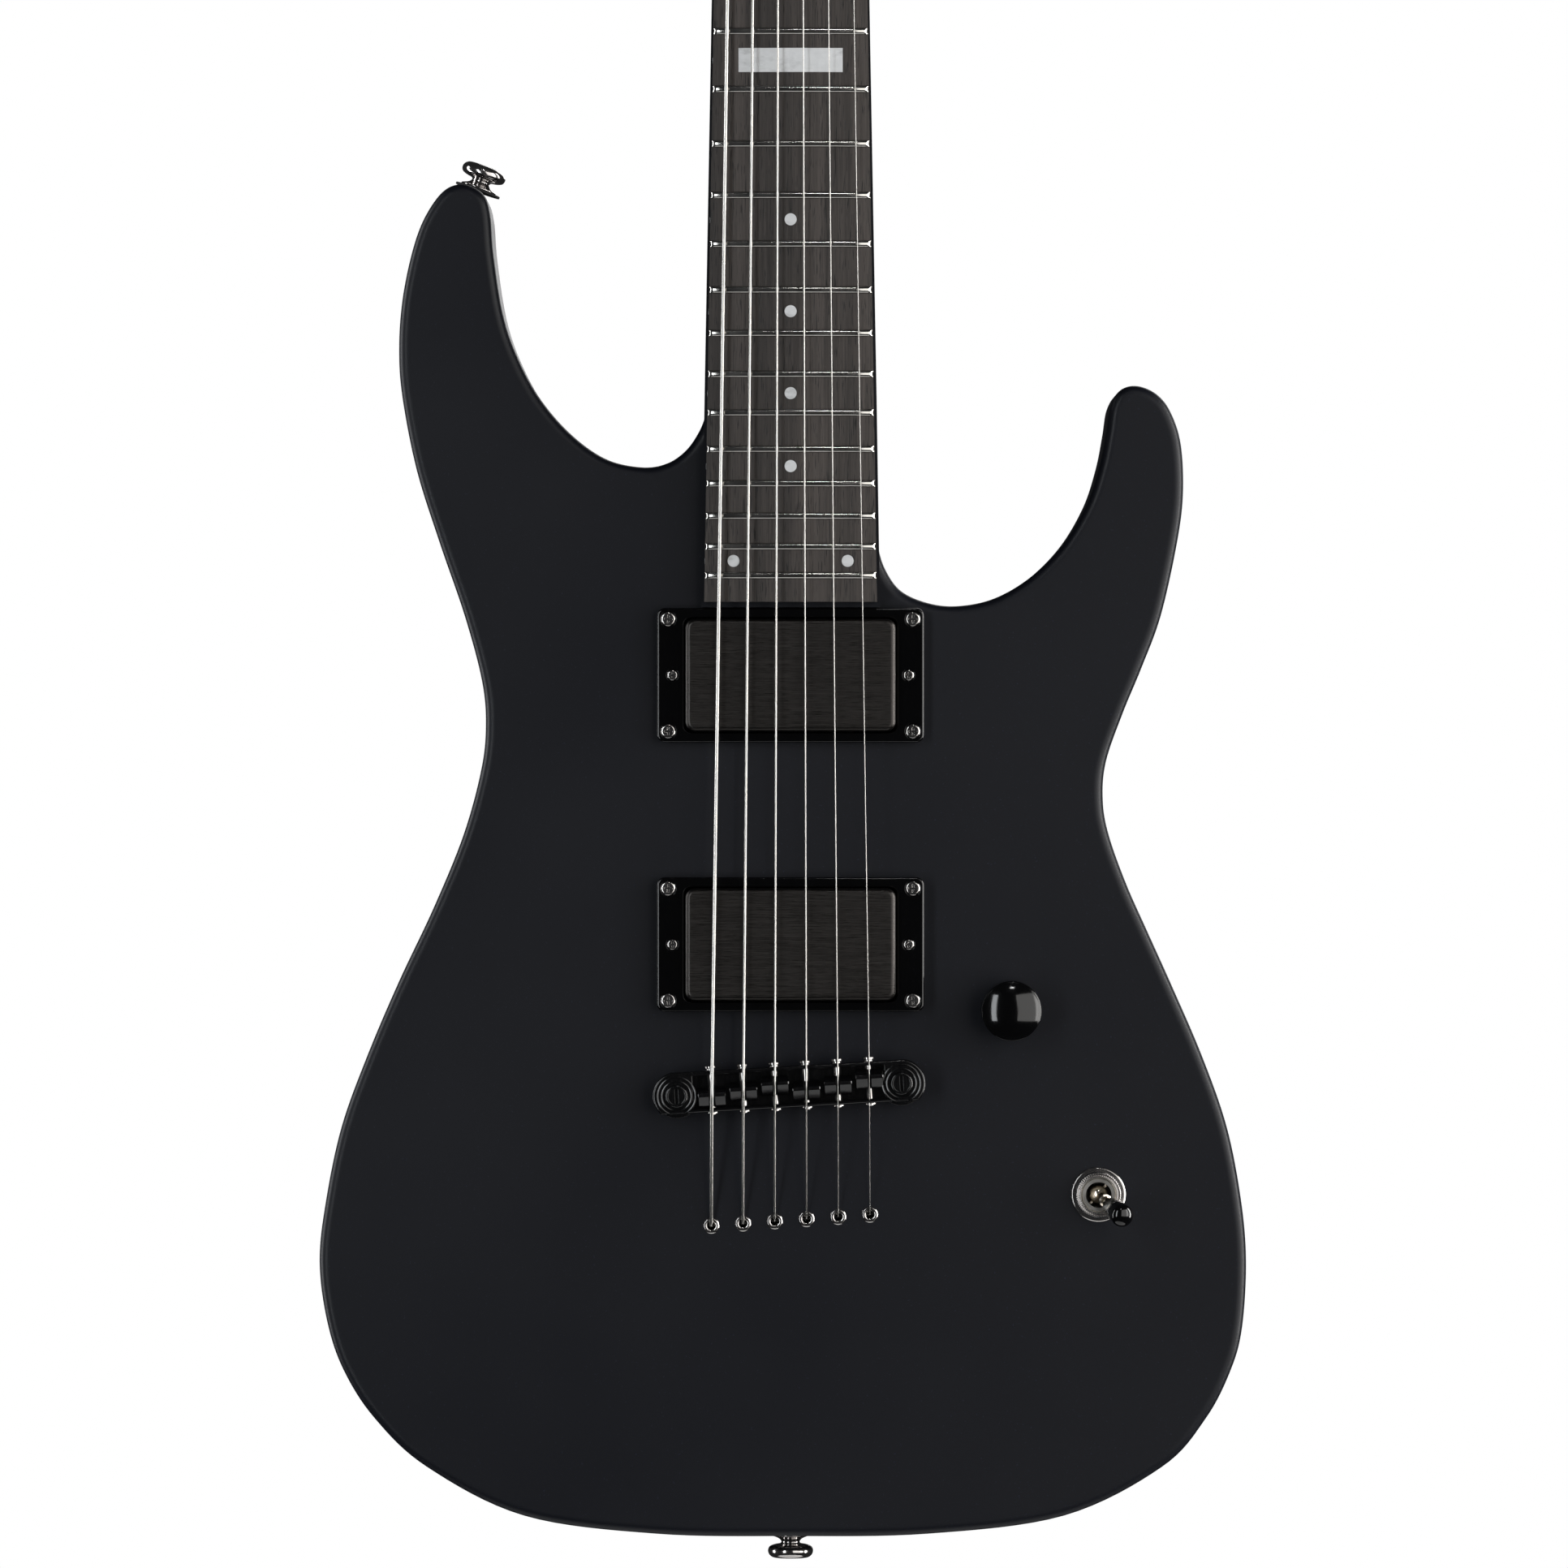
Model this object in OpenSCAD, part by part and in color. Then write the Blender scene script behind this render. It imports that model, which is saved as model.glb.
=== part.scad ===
/* [Body] */
// Thickness of the body
body_t = 45; // [42:0.5:48]
// Wood left above the control cavity
top_skin = 6; // [5:0.5:8]
// Depth of the pickup cavities
pickup_cavity_depth = 20.5; // [20:0.5:24]

/* [Neck and scale] */
// Length of the open string from nut to saddles
scale_len = 648; // [640:1:652]
// Width of the fretboard at the nut
nut_w = 42; // [41:0.5:44]
// Width of the fretboard at its body end
board_end_w = 57.6; // [56:0.1:59]
// Thickness of the fretboard along its middle
board_t = 6; // [5:0.5:7]
// Radius of the fretboard's crown
crown_r = 350; // [300:10:420]
// How far the heel stands above the body
heel_rise = 3.5; // [2:0.5:5]
// Depth of the neck's wood at the nut
neck_depth_nut = 13.2; // [12:0.1:15]
// Depth of the neck's wood at the heel
neck_depth_heel = 16; // [15:0.1:18]
// Backward tilt of the headstock in degrees
head_tilt = 8; // [6:0.5:10]

/* [Strings] */
// Outermost strings' distance from the middle at the nut
nut_half = 16.8; // [16:0.1:17.5]
// Outermost strings' distance from the middle at the bridge
bridge_half = 26.2; // [25.5:0.1:26.8]
// Height of the strings above the body at the bridge
string_height = 13.7; // [13:0.1:15]

/* [Bridge] */
// Distance between the two bridge posts
post_gap = 75; // [74:0.5:76]
// Slope of the bridge across the strings in degrees
bridge_slope = 3.3; // [2:0.1:4]
// Width of the bridge beam along the strings
beam_w = 13.8; // [13:0.1:14]

/* [Pickups] */
// Length of a pickup cover across the strings
cover_l = 70.1; // [69:0.1:71]
// Width of a pickup cover along the strings
cover_w = 37.4; // [37:0.1:38]
// Length of a pickup ring
ring_l = 89.1; // [88:0.1:91]
// Width of a pickup ring
ring_w = 44.8; // [44:0.1:46]

/* [Controls] */
// Diameter of the volume knob
knob_d = 20; // [18:0.5:21]
// Height of the volume knob
knob_h = 16; // [14:0.5:18]
// Lean of the switch lever to either side in degrees
lever_lean = 22; // [18:0.5:23]

/* [Hidden] */
$fn = 48;

// Where the strings' nominal end lies above the body's lowest point
saddle_z = 159;
nut_z = saddle_z + scale_len;
nut_len = 5;
board_z = 312.2;
top_y = -body_t / 2;
back_y = body_t / 2;
heel_y = top_y - heel_rise;
board_y = heel_y - board_t;
string_y = top_y - string_height;
fret_h = 1;
action_nut = 0.35;
STRINGS = [0 : 5];
string_r = [0.58, 0.46, 0.33, 0.22, 0.17, 0.13];

// Distance below the crown at x from the middle
function crown(x) = x * x / (2 * crown_r);
function fret_z(n) = saddle_z + scale_len * pow(2, -n / 12);
function board_w(z) = nut_w + (board_end_w - nut_w) * (nut_z - z) / (nut_z - board_z);
function spread(i, half) = half * (2 * i / 5 - 1);

// Point at t, from 0 to 1, on a smooth curve from b to c with neighbours a and d
function curve_at(a, b, c, d, t) =
    b + (c - a) * t / 2 + (2 * a - 5 * b + 4 * c - d) * t * t / 2
    + (3 * (b - c) + d - a) * t * t * t / 2;
function smooth(p, n) = let (m = len(p) - 1) [
    for (i = [0 : m - 1])
        for (k = [0 : n - 1])
            curve_at(p[max(i - 1, 0)], p[i], p[i + 1], p[min(i + 2, m)], k / n),
    p[m]
];

// Body outline seen from the front, clockwise from the treble side of the neck
outline_marks = [
    [29, 340], [29.3, 331], [31.8, 323], [37, 316], [46, 312], [56, 311], [68, 313.5], [80, 320.5],
    [91, 331.5], [99, 345], [103.3, 358], [105.5, 369], [107, 378], [110.3, 383.2], [115.8, 384.6],
    [122.2, 382], [127, 376], [130.5, 365], [131.2, 348], [129, 331], [123.7, 307.5], [117.2, 290],
    [111, 275], [105.4, 258.8], [104.4, 246], [106.4, 234.4], [112.2, 218.2], [119.4, 202], [126.8, 185.6],
    [137.4, 161], [145.8, 137], [150.6, 112.5], [152.3, 92], [151, 70], [147.2, 55.6], [138.8, 39.3],
    [124, 23], [91.3, 6.8], [46, 0.8], [0, 0], [-45, 0.8], [-89, 6.8], [-121.4, 23], [-139, 39.3],
    [-149.5, 55.6], [-155, 72], [-157.5, 92], [-155.3, 112.5], [-150.1, 137], [-141.4, 161], [-130.9, 185.6],
    [-119.4, 210], [-109.4, 234.4], [-103.5, 256], [-101.9, 271], [-103.2, 286], [-108.9, 307.5],
    [-117.3, 332], [-125, 356.4], [-129.8, 380.8], [-130.9, 397], [-129.8, 413.3], [-126.5, 429.5],
    [-122.3, 441], [-116, 449.8], [-109.3, 452], [-102.8, 448.8], [-100.4, 442], [-99.3, 429],
    [-96.4, 410], [-92, 396], [-84.5, 381.5], [-74, 369], [-62, 360.3], [-50, 357.4], [-41.5, 358.6],
    [-35, 363], [-30.5, 369.5], [-28, 376]
];
outline_steps = 3;

// Flat shape in X and Z, extruded from y forwards by t
module plate(y, t) {
    translate([0, y, 0])
        rotate([90, 0, 0])
            linear_extrude(t)
                children();
}
// Round bar or hole along Y, from y forwards by t
module round_y(x, y, z, r, t) {
    translate([x, y, z])
        rotate([90, 0, 0])
            cylinder(r = r, h = t);
}
module round_rect(l, w, r) {
    offset(r = r)
        square([l - 2 * r, w - 2 * r], center = true);
}
// Round bar from point p to point q
module rod(p, q, r) {
    d = q - p;
    translate(p)
        rotate([0, acos(d.z / norm(d)), atan2(d.y, d.x)])
            cylinder(r = r, h = norm(d));
}

// Round tube along points, with its sides counted round from the direction across ref
module tube(p, r, ref, sides) {
    m = len(p);
    rings = [
        for (i = [0 : m - 1])
            let (
                t = p[min(i + 1, m - 1)] - p[max(i - 1, 0)],
                u = cross(t, ref) / norm(cross(t, ref)),
                v = cross(u, t) / norm(t)
            )
                for (k = [0 : sides - 1])
                    p[i] + r * (cos(360 * k / sides) * u + sin(360 * k / sides) * v)
    ];
    polyhedron(rings, concat(
        [[for (k = [sides - 1 : -1 : 0]) k]],
        [[for (k = [0 : sides - 1]) (m - 1) * sides + k]],
        [
            for (i = [0 : m - 2])
                for (k = [0 : sides - 1])
                    let (a = i * sides + k, b = i * sides + (k + 1) % sides)
                        each [[a, b + sides, a + sides], [a, b, b + sides]]
        ]
    ));
}

// ---- Places ----
knob_at = [73.5, 176];
switch_at = [102.8, 114.4];
neck_pickup_z = 287.8;
bridge_pickup_z = 198;
jack_z = 88;
jack_face_x = 147;
jack_r = 8;
post_x = post_gap / 2 * cos(bridge_slope);
post_dz = post_gap / 2 * sin(bridge_slope);
bridge_mid = [-0.5, 149.7];
post_marks = [[bridge_mid.x - post_x, bridge_mid.y - post_dz], [bridge_mid.x + post_x, bridge_mid.y + post_dz]];
insert_r = 5.6;
insert_depth = 20;
function ferrule_at(i) = [spread(i, 26.5), 105.8 + spread(i, 1.85)];
strap_top = [-105.4, 450.9];
strap_top_turn = 20;
ring_screw_x = 40.8;
ring_screw_z = 18.7;
height_screw_x = 39.4;
cavity_marks = [[76, 176, 20], [106, 112, 26], [92, 66, 25]];
cavity_floor = top_y + top_skin;
recess_rim = 7;
recess_depth = 3;
lead_channel_r = 4;
// Screws of the cover, on the ledge between the cavity and its recess
cover_screw_marks = [[58, 191], [88, 196.3], [131.9, 126.3], [58, 118], [68.6, 49.6], [108.4, 42.6]];

// ---- Body ----
module cavity_shape(extra) {
    hull()
        for (c = cavity_marks)
            translate([c.x, c.y])
                circle(r = c.z + extra);
}
module pickup_cavity(z) {
    ear_l = 88;
    translate([0, 0, z]) {
        plate(top_y + pickup_cavity_depth, pickup_cavity_depth + 1)
            square([cover_l + 3, cover_w + 2.6], center = true);
        plate(top_y + pickup_cavity_depth, pickup_cavity_depth + 1)
            square([ear_l, 16], center = true);
        for (x = [-ring_screw_x, ring_screw_x])
            for (w = [-ring_screw_z, ring_screw_z])
                round_y(x, top_y + 10, w, 1.3, 11);
    }
}
module body() {
    color([0.06, 0.06, 0.07])
        difference() {
            plate(back_y, body_t)
                polygon(smooth(outline_marks, outline_steps));
            tenon(0.05, 60);
            pickup_cavity(neck_pickup_z);
            pickup_cavity(bridge_pickup_z);
            for (p = post_marks)
                round_y(p.x, top_y + insert_depth + 0.5, p.y, insert_r, insert_depth + 1);
            for (i = STRINGS)
                let (f = ferrule_at(i)) {
                    round_y(f.x, back_y + 1, f.y, 1.6, body_t + 2);
                    round_y(f.x, top_y + 8, f.y, 2.25, 9);
                    round_y(f.x, back_y + 1, f.y, 3.6, 11);
                }
            plate(back_y + 1, back_y + 1 - cavity_floor)
                cavity_shape(0);
            plate(back_y + 1, recess_depth + 1)
                cavity_shape(recess_rim);
            for (s = cover_screw_marks)
                round_y(s.x, back_y, s.y, 1.2, 14);
            round_y(knob_at.x, 0, knob_at.y, 4.85, body_t);
            round_y(switch_at.x, 0, switch_at.y, 6.1, body_t);
            rod([110, 0, jack_z], [jack_face_x + 1, 0, jack_z], jack_r + 0.3);
            rod([jack_face_x, 0, jack_z], [170, 0, jack_z], 11.5);
            rod([20, -5, 215], [20, -5, 272], lead_channel_r);
            rod([34, -5, 190], [64, -5, 190], lead_channel_r);
            rod([0, 0, -1], [0, 0, 26], 1.9);
            rod([strap_top.x, 0, strap_top.y], [strap_top.x - 24 * sin(strap_top_turn), 0,
                strap_top.y - 24 * cos(strap_top_turn)], 1.9);
        }
}

// ---- Neck ----
tenon_end_z = 310.5;
tenon_depth_y = 2;
heel_end_z = 380;
heel_extra = 1;
function half_neck(z) = board_w(z) / 2 + heel_extra * min(1, (nut_z - z) / (nut_z - heel_end_z));
// Glued end of the neck, made larger by gap for its pocket in the body
module tenon(gap, up) {
    low = tenon_end_z - gap;
    high = heel_end_z + up;
    plate(tenon_depth_y + gap, tenon_depth_y + gap - heel_y)
        polygon([
            [-half_neck(low) - gap, low], [half_neck(low) + gap, low],
            [half_neck(high) + gap, high], [-half_neck(high) - gap, high]
        ]);
}
// Thin cross-section of the neck at z, flat in front and round behind
module neck_slice(z, w, d) {
    translate([0, heel_y, z])
        linear_extrude(0.1)
            polygon([for (a = [0 : 7.5 : 180]) [w / 2 * cos(a), d * pow(sin(a), 0.85)]]);
}
// The headstock's own frame: its face is y = 0, and z runs up from behind the nut
module head_frame() {
    translate([0, heel_y + 0.5, nut_z + nut_len])
        rotate([-head_tilt, 0, 0])
            children();
}
head_t = 15;
head_low = -3.5;
head_outline = [
    [-21, head_low], [-21, 3], [-23.5, 12], [-29, 19], [-34.5, 25], [-35.8, 33], [-27, 66], [-18, 100], [-9, 134],
    [-3, 156], [2, 167], [11, 175], [21, 176], [29, 170], [32, 158], [31, 130], [28, 80], [24.5, 35],
    [21.6, 10], [21, head_low]
];
post_first = [-19.9, 30];
post_last = [13.4, 154];
post_line = post_last - post_first;
post_line_turn = atan2(post_line.x, post_line.y);
function post_at(i) = post_first + post_line * i / 5;
// Screw in a tuner's foot, in the tuner's own frame
foot_screw = [9.4, 7.8];
foot_screw_r = 1.05;
rod_axis_y = heel_y + 6.5;
rod_slot_w = 6.4;
truss_rod_r = 3;
truss_nut_z = nut_z + nut_len + 4;

module neck() {
    color([0.05, 0.05, 0.055])
        difference() {
            union() {
                tenon(0, 0);
                hull() {
                    neck_slice(heel_end_z + 40, 2 * half_neck(heel_end_z + 40), neck_depth_heel);
                    neck_slice(nut_z - 6, nut_w, neck_depth_nut);
                }
                hull() {
                    plate(tenon_depth_y, tenon_depth_y - heel_y)
                        translate([0, heel_end_z - 0.1])
                            square([2 * half_neck(heel_end_z), 0.2], center = true);
                    neck_slice(heel_end_z + 40, 2 * half_neck(heel_end_z + 40), neck_depth_heel);
                }
                hull() {
                    neck_slice(nut_z - 6, nut_w, neck_depth_nut);
                    neck_slice(nut_z + nut_len, nut_w, neck_depth_nut + 0.5);
                }
                hull() {
                    neck_slice(nut_z - 10, nut_w, neck_depth_nut - 0.2);
                    head_frame()
                        translate([-21, 2, 8])
                            cube([42, head_t - 2, 8]);
                }
                head_frame()
                    plate(head_t, head_t)
                        polygon(smooth(head_outline, 3));
            }
            translate([-rod_slot_w / 2, heel_y - 1, 345])
                cube([rod_slot_w, 11, nut_z + nut_len + 2 - 345]);
            head_frame()
                translate([-6, -3, -1])
                    cube([12, 13.5, 24]);
            for (i = STRINGS)
                head_frame() {
                    round_y(post_at(i).x, head_t + 1, post_at(i).y, 4.5, head_t + 2);
                    at_post(i)
                        round_y(foot_screw.x, head_t + 1, foot_screw.y, foot_screw_r + 0.05, 8);
                }
            head_frame()
                for (s = cover_marks)
                    round_y(s.x, 8, s.y, 0.9, 9);
        }
}

// ---- Fretboard, frets and markers ----
dot_frets = [3, 5, 7, 9, 15, 17, 19, 21];
pair_x = 19;
pair_drop = crown(pair_x + 2);
dot_r = 2;
dot_t = 1.5;
block_l = 34.7;
block_w = 8;
slot_w = 0.6;
slot_depth = 2;
function between(n) = (fret_z(n - 1) + fret_z(n)) / 2;
// Round bar whose surface is the fretboard's crown, raised by h
module crown_bar(h) {
    translate([0, board_y + crown_r, board_z - 10])
        cylinder(r = crown_r + h, h = nut_z - board_z + 30, $fn = 360);
}
// Flat block marker whose face follows the crown
module block_marker(gap) {
    half_turn = asin((block_l / 2 + gap) / crown_r);
    translate([0, board_y + crown_r, between(12)])
        rotate([0, 0, -90 - half_turn])
            rotate_extrude(angle = 2 * half_turn, $fn = 360)
                translate([crown_r - dot_t, -block_w / 2 - gap])
                    square([dot_t + 20 * gap, block_w + 2 * gap]);
}
module markers(gap) {
    for (n = dot_frets)
        round_y(0, board_y + dot_t, between(n), dot_r + gap, dot_t + 20 * gap);
    for (x = [-pair_x, pair_x])
        round_y(x, board_y + pair_drop + dot_t, between(24), dot_r + gap, dot_t + 30 * gap);
    block_marker(gap);
}
module fretboard() {
    color([0.09, 0.07, 0.06])
        difference() {
            intersection() {
                plate(heel_y, board_t + 1)
                    polygon([
                        [-board_w(board_z) / 2, board_z], [board_w(board_z) / 2, board_z],
                        [nut_w / 2, nut_z], [-nut_w / 2, nut_z]
                    ]);
                crown_bar(0);
            }
            for (n = [1 : 24])
                translate([-40, board_y - 2, fret_z(n) - slot_w / 2])
                    cube([80, 2 + 2 + crown(29), slot_w]);
            markers(0.02);
            for (n = concat(dot_frets, [12, 24]))
                side_dot(n, 0.02);
        }
}
module side_dot(n, gap) {
    z = between(n);
    edge = -board_w(z) / 2;
    rod([edge - 0.1 - gap, heel_y - 2.4, z], [edge + 2, heel_y - 2.4, z], 1 + gap);
}
module inlays() {
    color([0.93, 0.93, 0.9]) {
        markers(0);
        for (n = concat(dot_frets, [12, 24]))
            side_dot(n, 0);
    }
}
module frets() {
    half_w = 1.2;
    profile = concat(
        [for (a = [0 : 30 : 180]) [crown_r + fret_h * sin(a), half_w * cos(a)]],
        [[crown_r, -0.25], [crown_r - 1.8, -0.25], [crown_r - 1.8, 0.25], [crown_r, 0.25]]
    );
    color([0.75, 0.75, 0.76])
        for (n = [1 : 24])
            intersection() {
                translate([0, board_y + crown_r, fret_z(n)])
                    rotate([0, 0, -96])
                        rotate_extrude(angle = 12, $fn = 360)
                            polygon(profile);
                translate([0, board_y, fret_z(n)])
                    cube([board_w(fret_z(n)) - 0.4, 12, 6], center = true);
            }
}
function nut_string(i) =
    let (x = spread(i, nut_half)) [x, board_y - fret_h - action_nut - string_r[i] + crown(x), nut_z + 1];
module nut() {
    color([0.1, 0.1, 0.1])
        difference() {
            intersection() {
                translate([-nut_w / 2, board_y - 4, nut_z])
                    cube([nut_w, board_t + 4 - 0.02, nut_len]);
                translate([0, 0.4, 0])
                    crown_bar(fret_h + 1.5);
            }
            for (i = STRINGS)
                let (p = nut_string(i)) {
                    translate([p.x - string_r[i] - 0.05, p.y - 4, nut_z - 1])
                        cube([2 * string_r[i] + 0.1, 4, nut_len + 2]);
                    rod(p + 0.01 * (saddle_string(i) - p), p + [0, 0.05, 0], string_r[i] + 0.04);
                    rod(p, string_end(i), string_r[i] + 0.04);
                }
        }
}

// ---- Truss rod ----
module truss_rod() {
    color([0.45, 0.45, 0.47])
        rod([0, rod_axis_y, 347], [0, rod_axis_y, truss_nut_z + 8], truss_rod_r);
}
module truss_rod_nut() {
    color([0.7, 0.6, 0.35])
        translate([0, rod_axis_y, truss_nut_z])
            difference() {
                cylinder(d = 8.4, h = 10, $fn = 6);
                translate([0, 0, -1])
                    cylinder(r = truss_rod_r + 0.05, h = 12);
            }
}
cover_marks = [[0, 30.5], [-7.5, 3.2], [7.5, 3.2]];
module truss_rod_cover() {
    color([0.08, 0.08, 0.08])
        head_frame()
            difference() {
                plate(-0.05, 1.95)
                    offset(r = 2)
                        polygon([[-8.5, 2], [8.5, 2], [3, 32], [-3, 32]]);
                for (s = cover_marks)
                    round_y(s.x, 1, s.y, 1.2, 4);
            }
}

// ---- Tuners ----
worm_z = 7.8;
worm_y = head_t + 6.3;
post_r = 3;
bushing_top = 2.2;
housing_t = 11.5;
button_x = -25;
function post_height(i) = 8 - 0.25 * i;
// A tuner's own frame: its post stands on the origin, and its button lies towards -x
module at_post(i) {
    translate([post_at(i).x, 0, post_at(i).y])
        rotate([0, post_line_turn, 0])
            children();
}
module tuner_housings() {
    wall = 1.3;
    color([0.12, 0.12, 0.13])
        head_frame()
            for (i = STRINGS)
                at_post(i)
                    difference() {
                        union() {
                            plate(head_t + housing_t, housing_t - 0.05)
                                translate([-2, 2.6])
                                    round_rect(18.5, 20, 3);
                            plate(head_t + 2, 1.95)
                                translate([9, 5])
                                    round_rect(7, 12, 2);
                            rod([-11, worm_y, worm_z], [-15, worm_y, worm_z], 3.4);
                        }
                        plate(head_t + housing_t - wall, housing_t - 2 * wall)
                            translate([-2, 2.6])
                                square([18.5 - 2 * wall, 20 - 2 * wall], center = true);
                        round_y(0, head_t + 3, 0, post_r + 0.07, 6);
                        rod([-8, worm_y, worm_z], [-20, worm_y, worm_z], 1.87);
                        round_y(foot_screw.x, head_t + 3, foot_screw.y, foot_screw_r + 0.1, 6);
                    }
}
module tuner_bushings() {
    color([0.2, 0.2, 0.21])
        head_frame()
            for (i = STRINGS)
                at_post(i)
                    difference() {
                        union() {
                            round_y(0, -0.03, 0, 6.6, 0.9);
                            plate(-0.9, bushing_top - 0.9)
                                circle(d = 11.4, $fn = 6);
                            round_y(0, head_t - 1, 0, 4.46, head_t);
                        }
                        round_y(0, head_t + 2, 0, post_r + 0.07, head_t + 8);
                    }
}
module tuner_screws() {
    color([0.12, 0.12, 0.13])
        head_frame()
            for (i = STRINGS)
                at_post(i)
                    difference() {
                        union() {
                            round_y(foot_screw.x, head_t + 2.05, foot_screw.y, foot_screw_r, 8);
                            round_y(foot_screw.x, head_t + 3.2, foot_screw.y, 2, 1.15);
                        }
                        cross_slot(foot_screw.x, head_t + 4, foot_screw.y, 2.4);
                    }
}
// Cross-shaped driver recess cut forwards from y
module cross_slot(x, y, z, w) {
    for (a = [0, 90])
        translate([x, y, z])
            rotate([0, a, 0])
                translate([-w / 2, -1.5, -0.3])
                    cube([w, 1.5, 0.6]);
}
module tuner_button(i) {
    ridge = 0.8;
    grip_r = 6.5;
    grip_t = 8;
    color([0.1, 0.1, 0.11])
        head_frame()
            at_post(i)
                translate([0, worm_y, worm_z])
                    rotate([0, -90, 0]) {
                        translate([0, 0, -5.2])
                            cylinder(r = 1.8, h = 5.2 - button_x + 2);
                        for (k = [-3 : 3])
                            translate([0, 0, k * 1.4 - 0.35])
                                cylinder(r = 1.8 + ridge, h = 0.7);
                        translate([0, 0, -button_x])
                            cylinder(r = 3, h = 3);
                        hull()
                            for (x = [-3.5, 3.5])
                                translate([x, grip_t / 2, grip_r + 3.5 - button_x])
                                    rotate([90, 0, 0])
                                        cylinder(r = grip_r, h = grip_t, $fn = 32);
                    }
}
module tuner_post(i) {
    h = post_height(i);
    wheel_teeth = 15;
    color([0.25, 0.25, 0.26])
        head_frame()
            at_post(i)
                difference() {
                    union() {
                        round_y(0, head_t + 9.6, 0, post_r, head_t + 9.6 + h + 4);
                        plate(worm_y + 2.2, 4.4)
                            difference() {
                                circle(r = 4.95);
                                for (k = [0 : wheel_teeth - 1])
                                    rotate(360 * k / wheel_teeth)
                                        translate([5.1, 0])
                                            circle(r = 0.45, $fn = 16);
                            }
                    }
                    rod([-5, -h, 0], [5, -h, 0], 0.8);
                }
}

// ---- Strings ----
// Where string i leaves the nut and meets its post, in the guitar's frame
function from_head(p) = [
    p.x,
    heel_y + 0.5 + p.y * cos(head_tilt) + p.z * sin(head_tilt),
    nut_z + nut_len - p.y * sin(head_tilt) + p.z * cos(head_tilt)
];
wrap_gap = 0.3;
function wrap_r(i) = post_r + wrap_gap + string_r[i];
function string_end(i) = from_head([
    post_at(i).x + wrap_r(i) * cos(3), -post_height(i) + 2 * string_r[i], post_at(i).y - wrap_r(i) * sin(3)
]);
crest_ahead = [-0.1, 1.2, 2.5, 0.2, 1.4, 2.9];
function beam_z(x) = bridge_mid.y + (x - bridge_mid.x) * tan(bridge_slope);
function saddle_string(i) =
    let (x = spread(i, bridge_half)) [x, string_y - string_r[i] + crown(x), beam_z(x) + crest_ahead[i]];
ferrule_top = 0.4;
// Balls at the strings' ends, each on the floor of its ferrule
ferrule_bore_l = 7.9;
ball_r = 1.95;
ball_l = 3.8;
ball_y = back_y - ferrule_bore_l + ball_r + 0.05;
wrap_turns = 2.5;
wrap_steps = 12;
// Points where string i bends between its ball end and its post
function string_path(i) =
    let (
        f = ferrule_at(i),
        r = string_r[i],
        bend = [f.x, top_y - ferrule_top - 0.5, f.y],
        crest = saddle_string(i),
        climb = (crest - bend) / norm(crest - bend),
        run = (nut_string(i) - crest) / norm(nut_string(i) - crest),
        fall = (string_end(i) - nut_string(i)) / norm(string_end(i) - nut_string(i))
    )
        [
            [f.x, ball_y - ball_r - 0.05, f.y], bend + [0, 0.6, 0], bend + 0.6 * climb,
            crest - 0.8 * climb, crest + 0.8 * run, nut_string(i) - 0.6 * run, nut_string(i) + 0.6 * fall,
            string_end(i)
        ];
// Turns of string i on its post, from where it arrives, one string's thickness apart
function wrap_path(i) =
    let (n = wrap_turns * wrap_steps, first = -5, r = wrap_r(i))
        [
            for (k = [0 : n])
                let (a = first - k * 360 / wrap_steps)
                    from_head([
                        post_at(i).x + r * cos(a),
                        2 * string_r[i] - post_height(i) + 2.1 * string_r[i] * k / wrap_steps,
                        post_at(i).y - r * sin(a)
                    ])
        ];
module strings() {
    sides = 8;
    for (i = STRINGS) {
        f = ferrule_at(i);
        color([0.8, 0.8, 0.8]) {
            tube(string_path(i), string_r[i], [1, 0, 0], sides);
            tube(wrap_path(i), string_r[i], [0, 1, 0], sides);
        }
        color([0.75, 0.62, 0.3])
            rod([f.x - ball_l / 2, ball_y, f.y], [f.x + ball_l / 2, ball_y, f.y], ball_r);
    }
}
module string_ferrules() {
    color([0.3, 0.3, 0.32])
        for (i = STRINGS)
            let (f = ferrule_at(i)) {
                difference() {
                    union() {
                        round_y(f.x, top_y - 0.01, f.y, 2.7, ferrule_top);
                        round_y(f.x, top_y + 6, f.y, 2.22, 6.1);
                    }
                    round_y(f.x, top_y + 9, f.y, 1.4, 12);
                }
                difference() {
                    round_y(f.x, back_y - 0.05, f.y, 3.57, 9.9);
                    round_y(f.x, back_y + 1, f.y, 2.75, ferrule_bore_l + 1);
                    round_y(f.x, back_y + 1, f.y, 1, 14);
                }
            }
}

// ---- Bridge ----
beam_top = top_y - 11.1;
beam_bottom = top_y - 4.8;
screw_y = beam_top + 3.1;
// How far the beam's middle lies ahead of the line of its posts
beam_ahead = 1;
channel_l = 64;
channel_w = 11.1;
saddle_w = 9.2;
saddle_l = 6.4;
crest_off = 0.8;
// The bevel falls from here to the beam's tail edge
bevel_l = 2.475;
bevel_drop = 1.1;
intonation_r = 1;
// The bridge's own frame: x along the beam, z along the strings, y as in the guitar
module bridge_frame() {
    translate([bridge_mid.x, 0, bridge_mid.y])
        rotate([0, -bridge_slope, 0])
            children();
}
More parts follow.
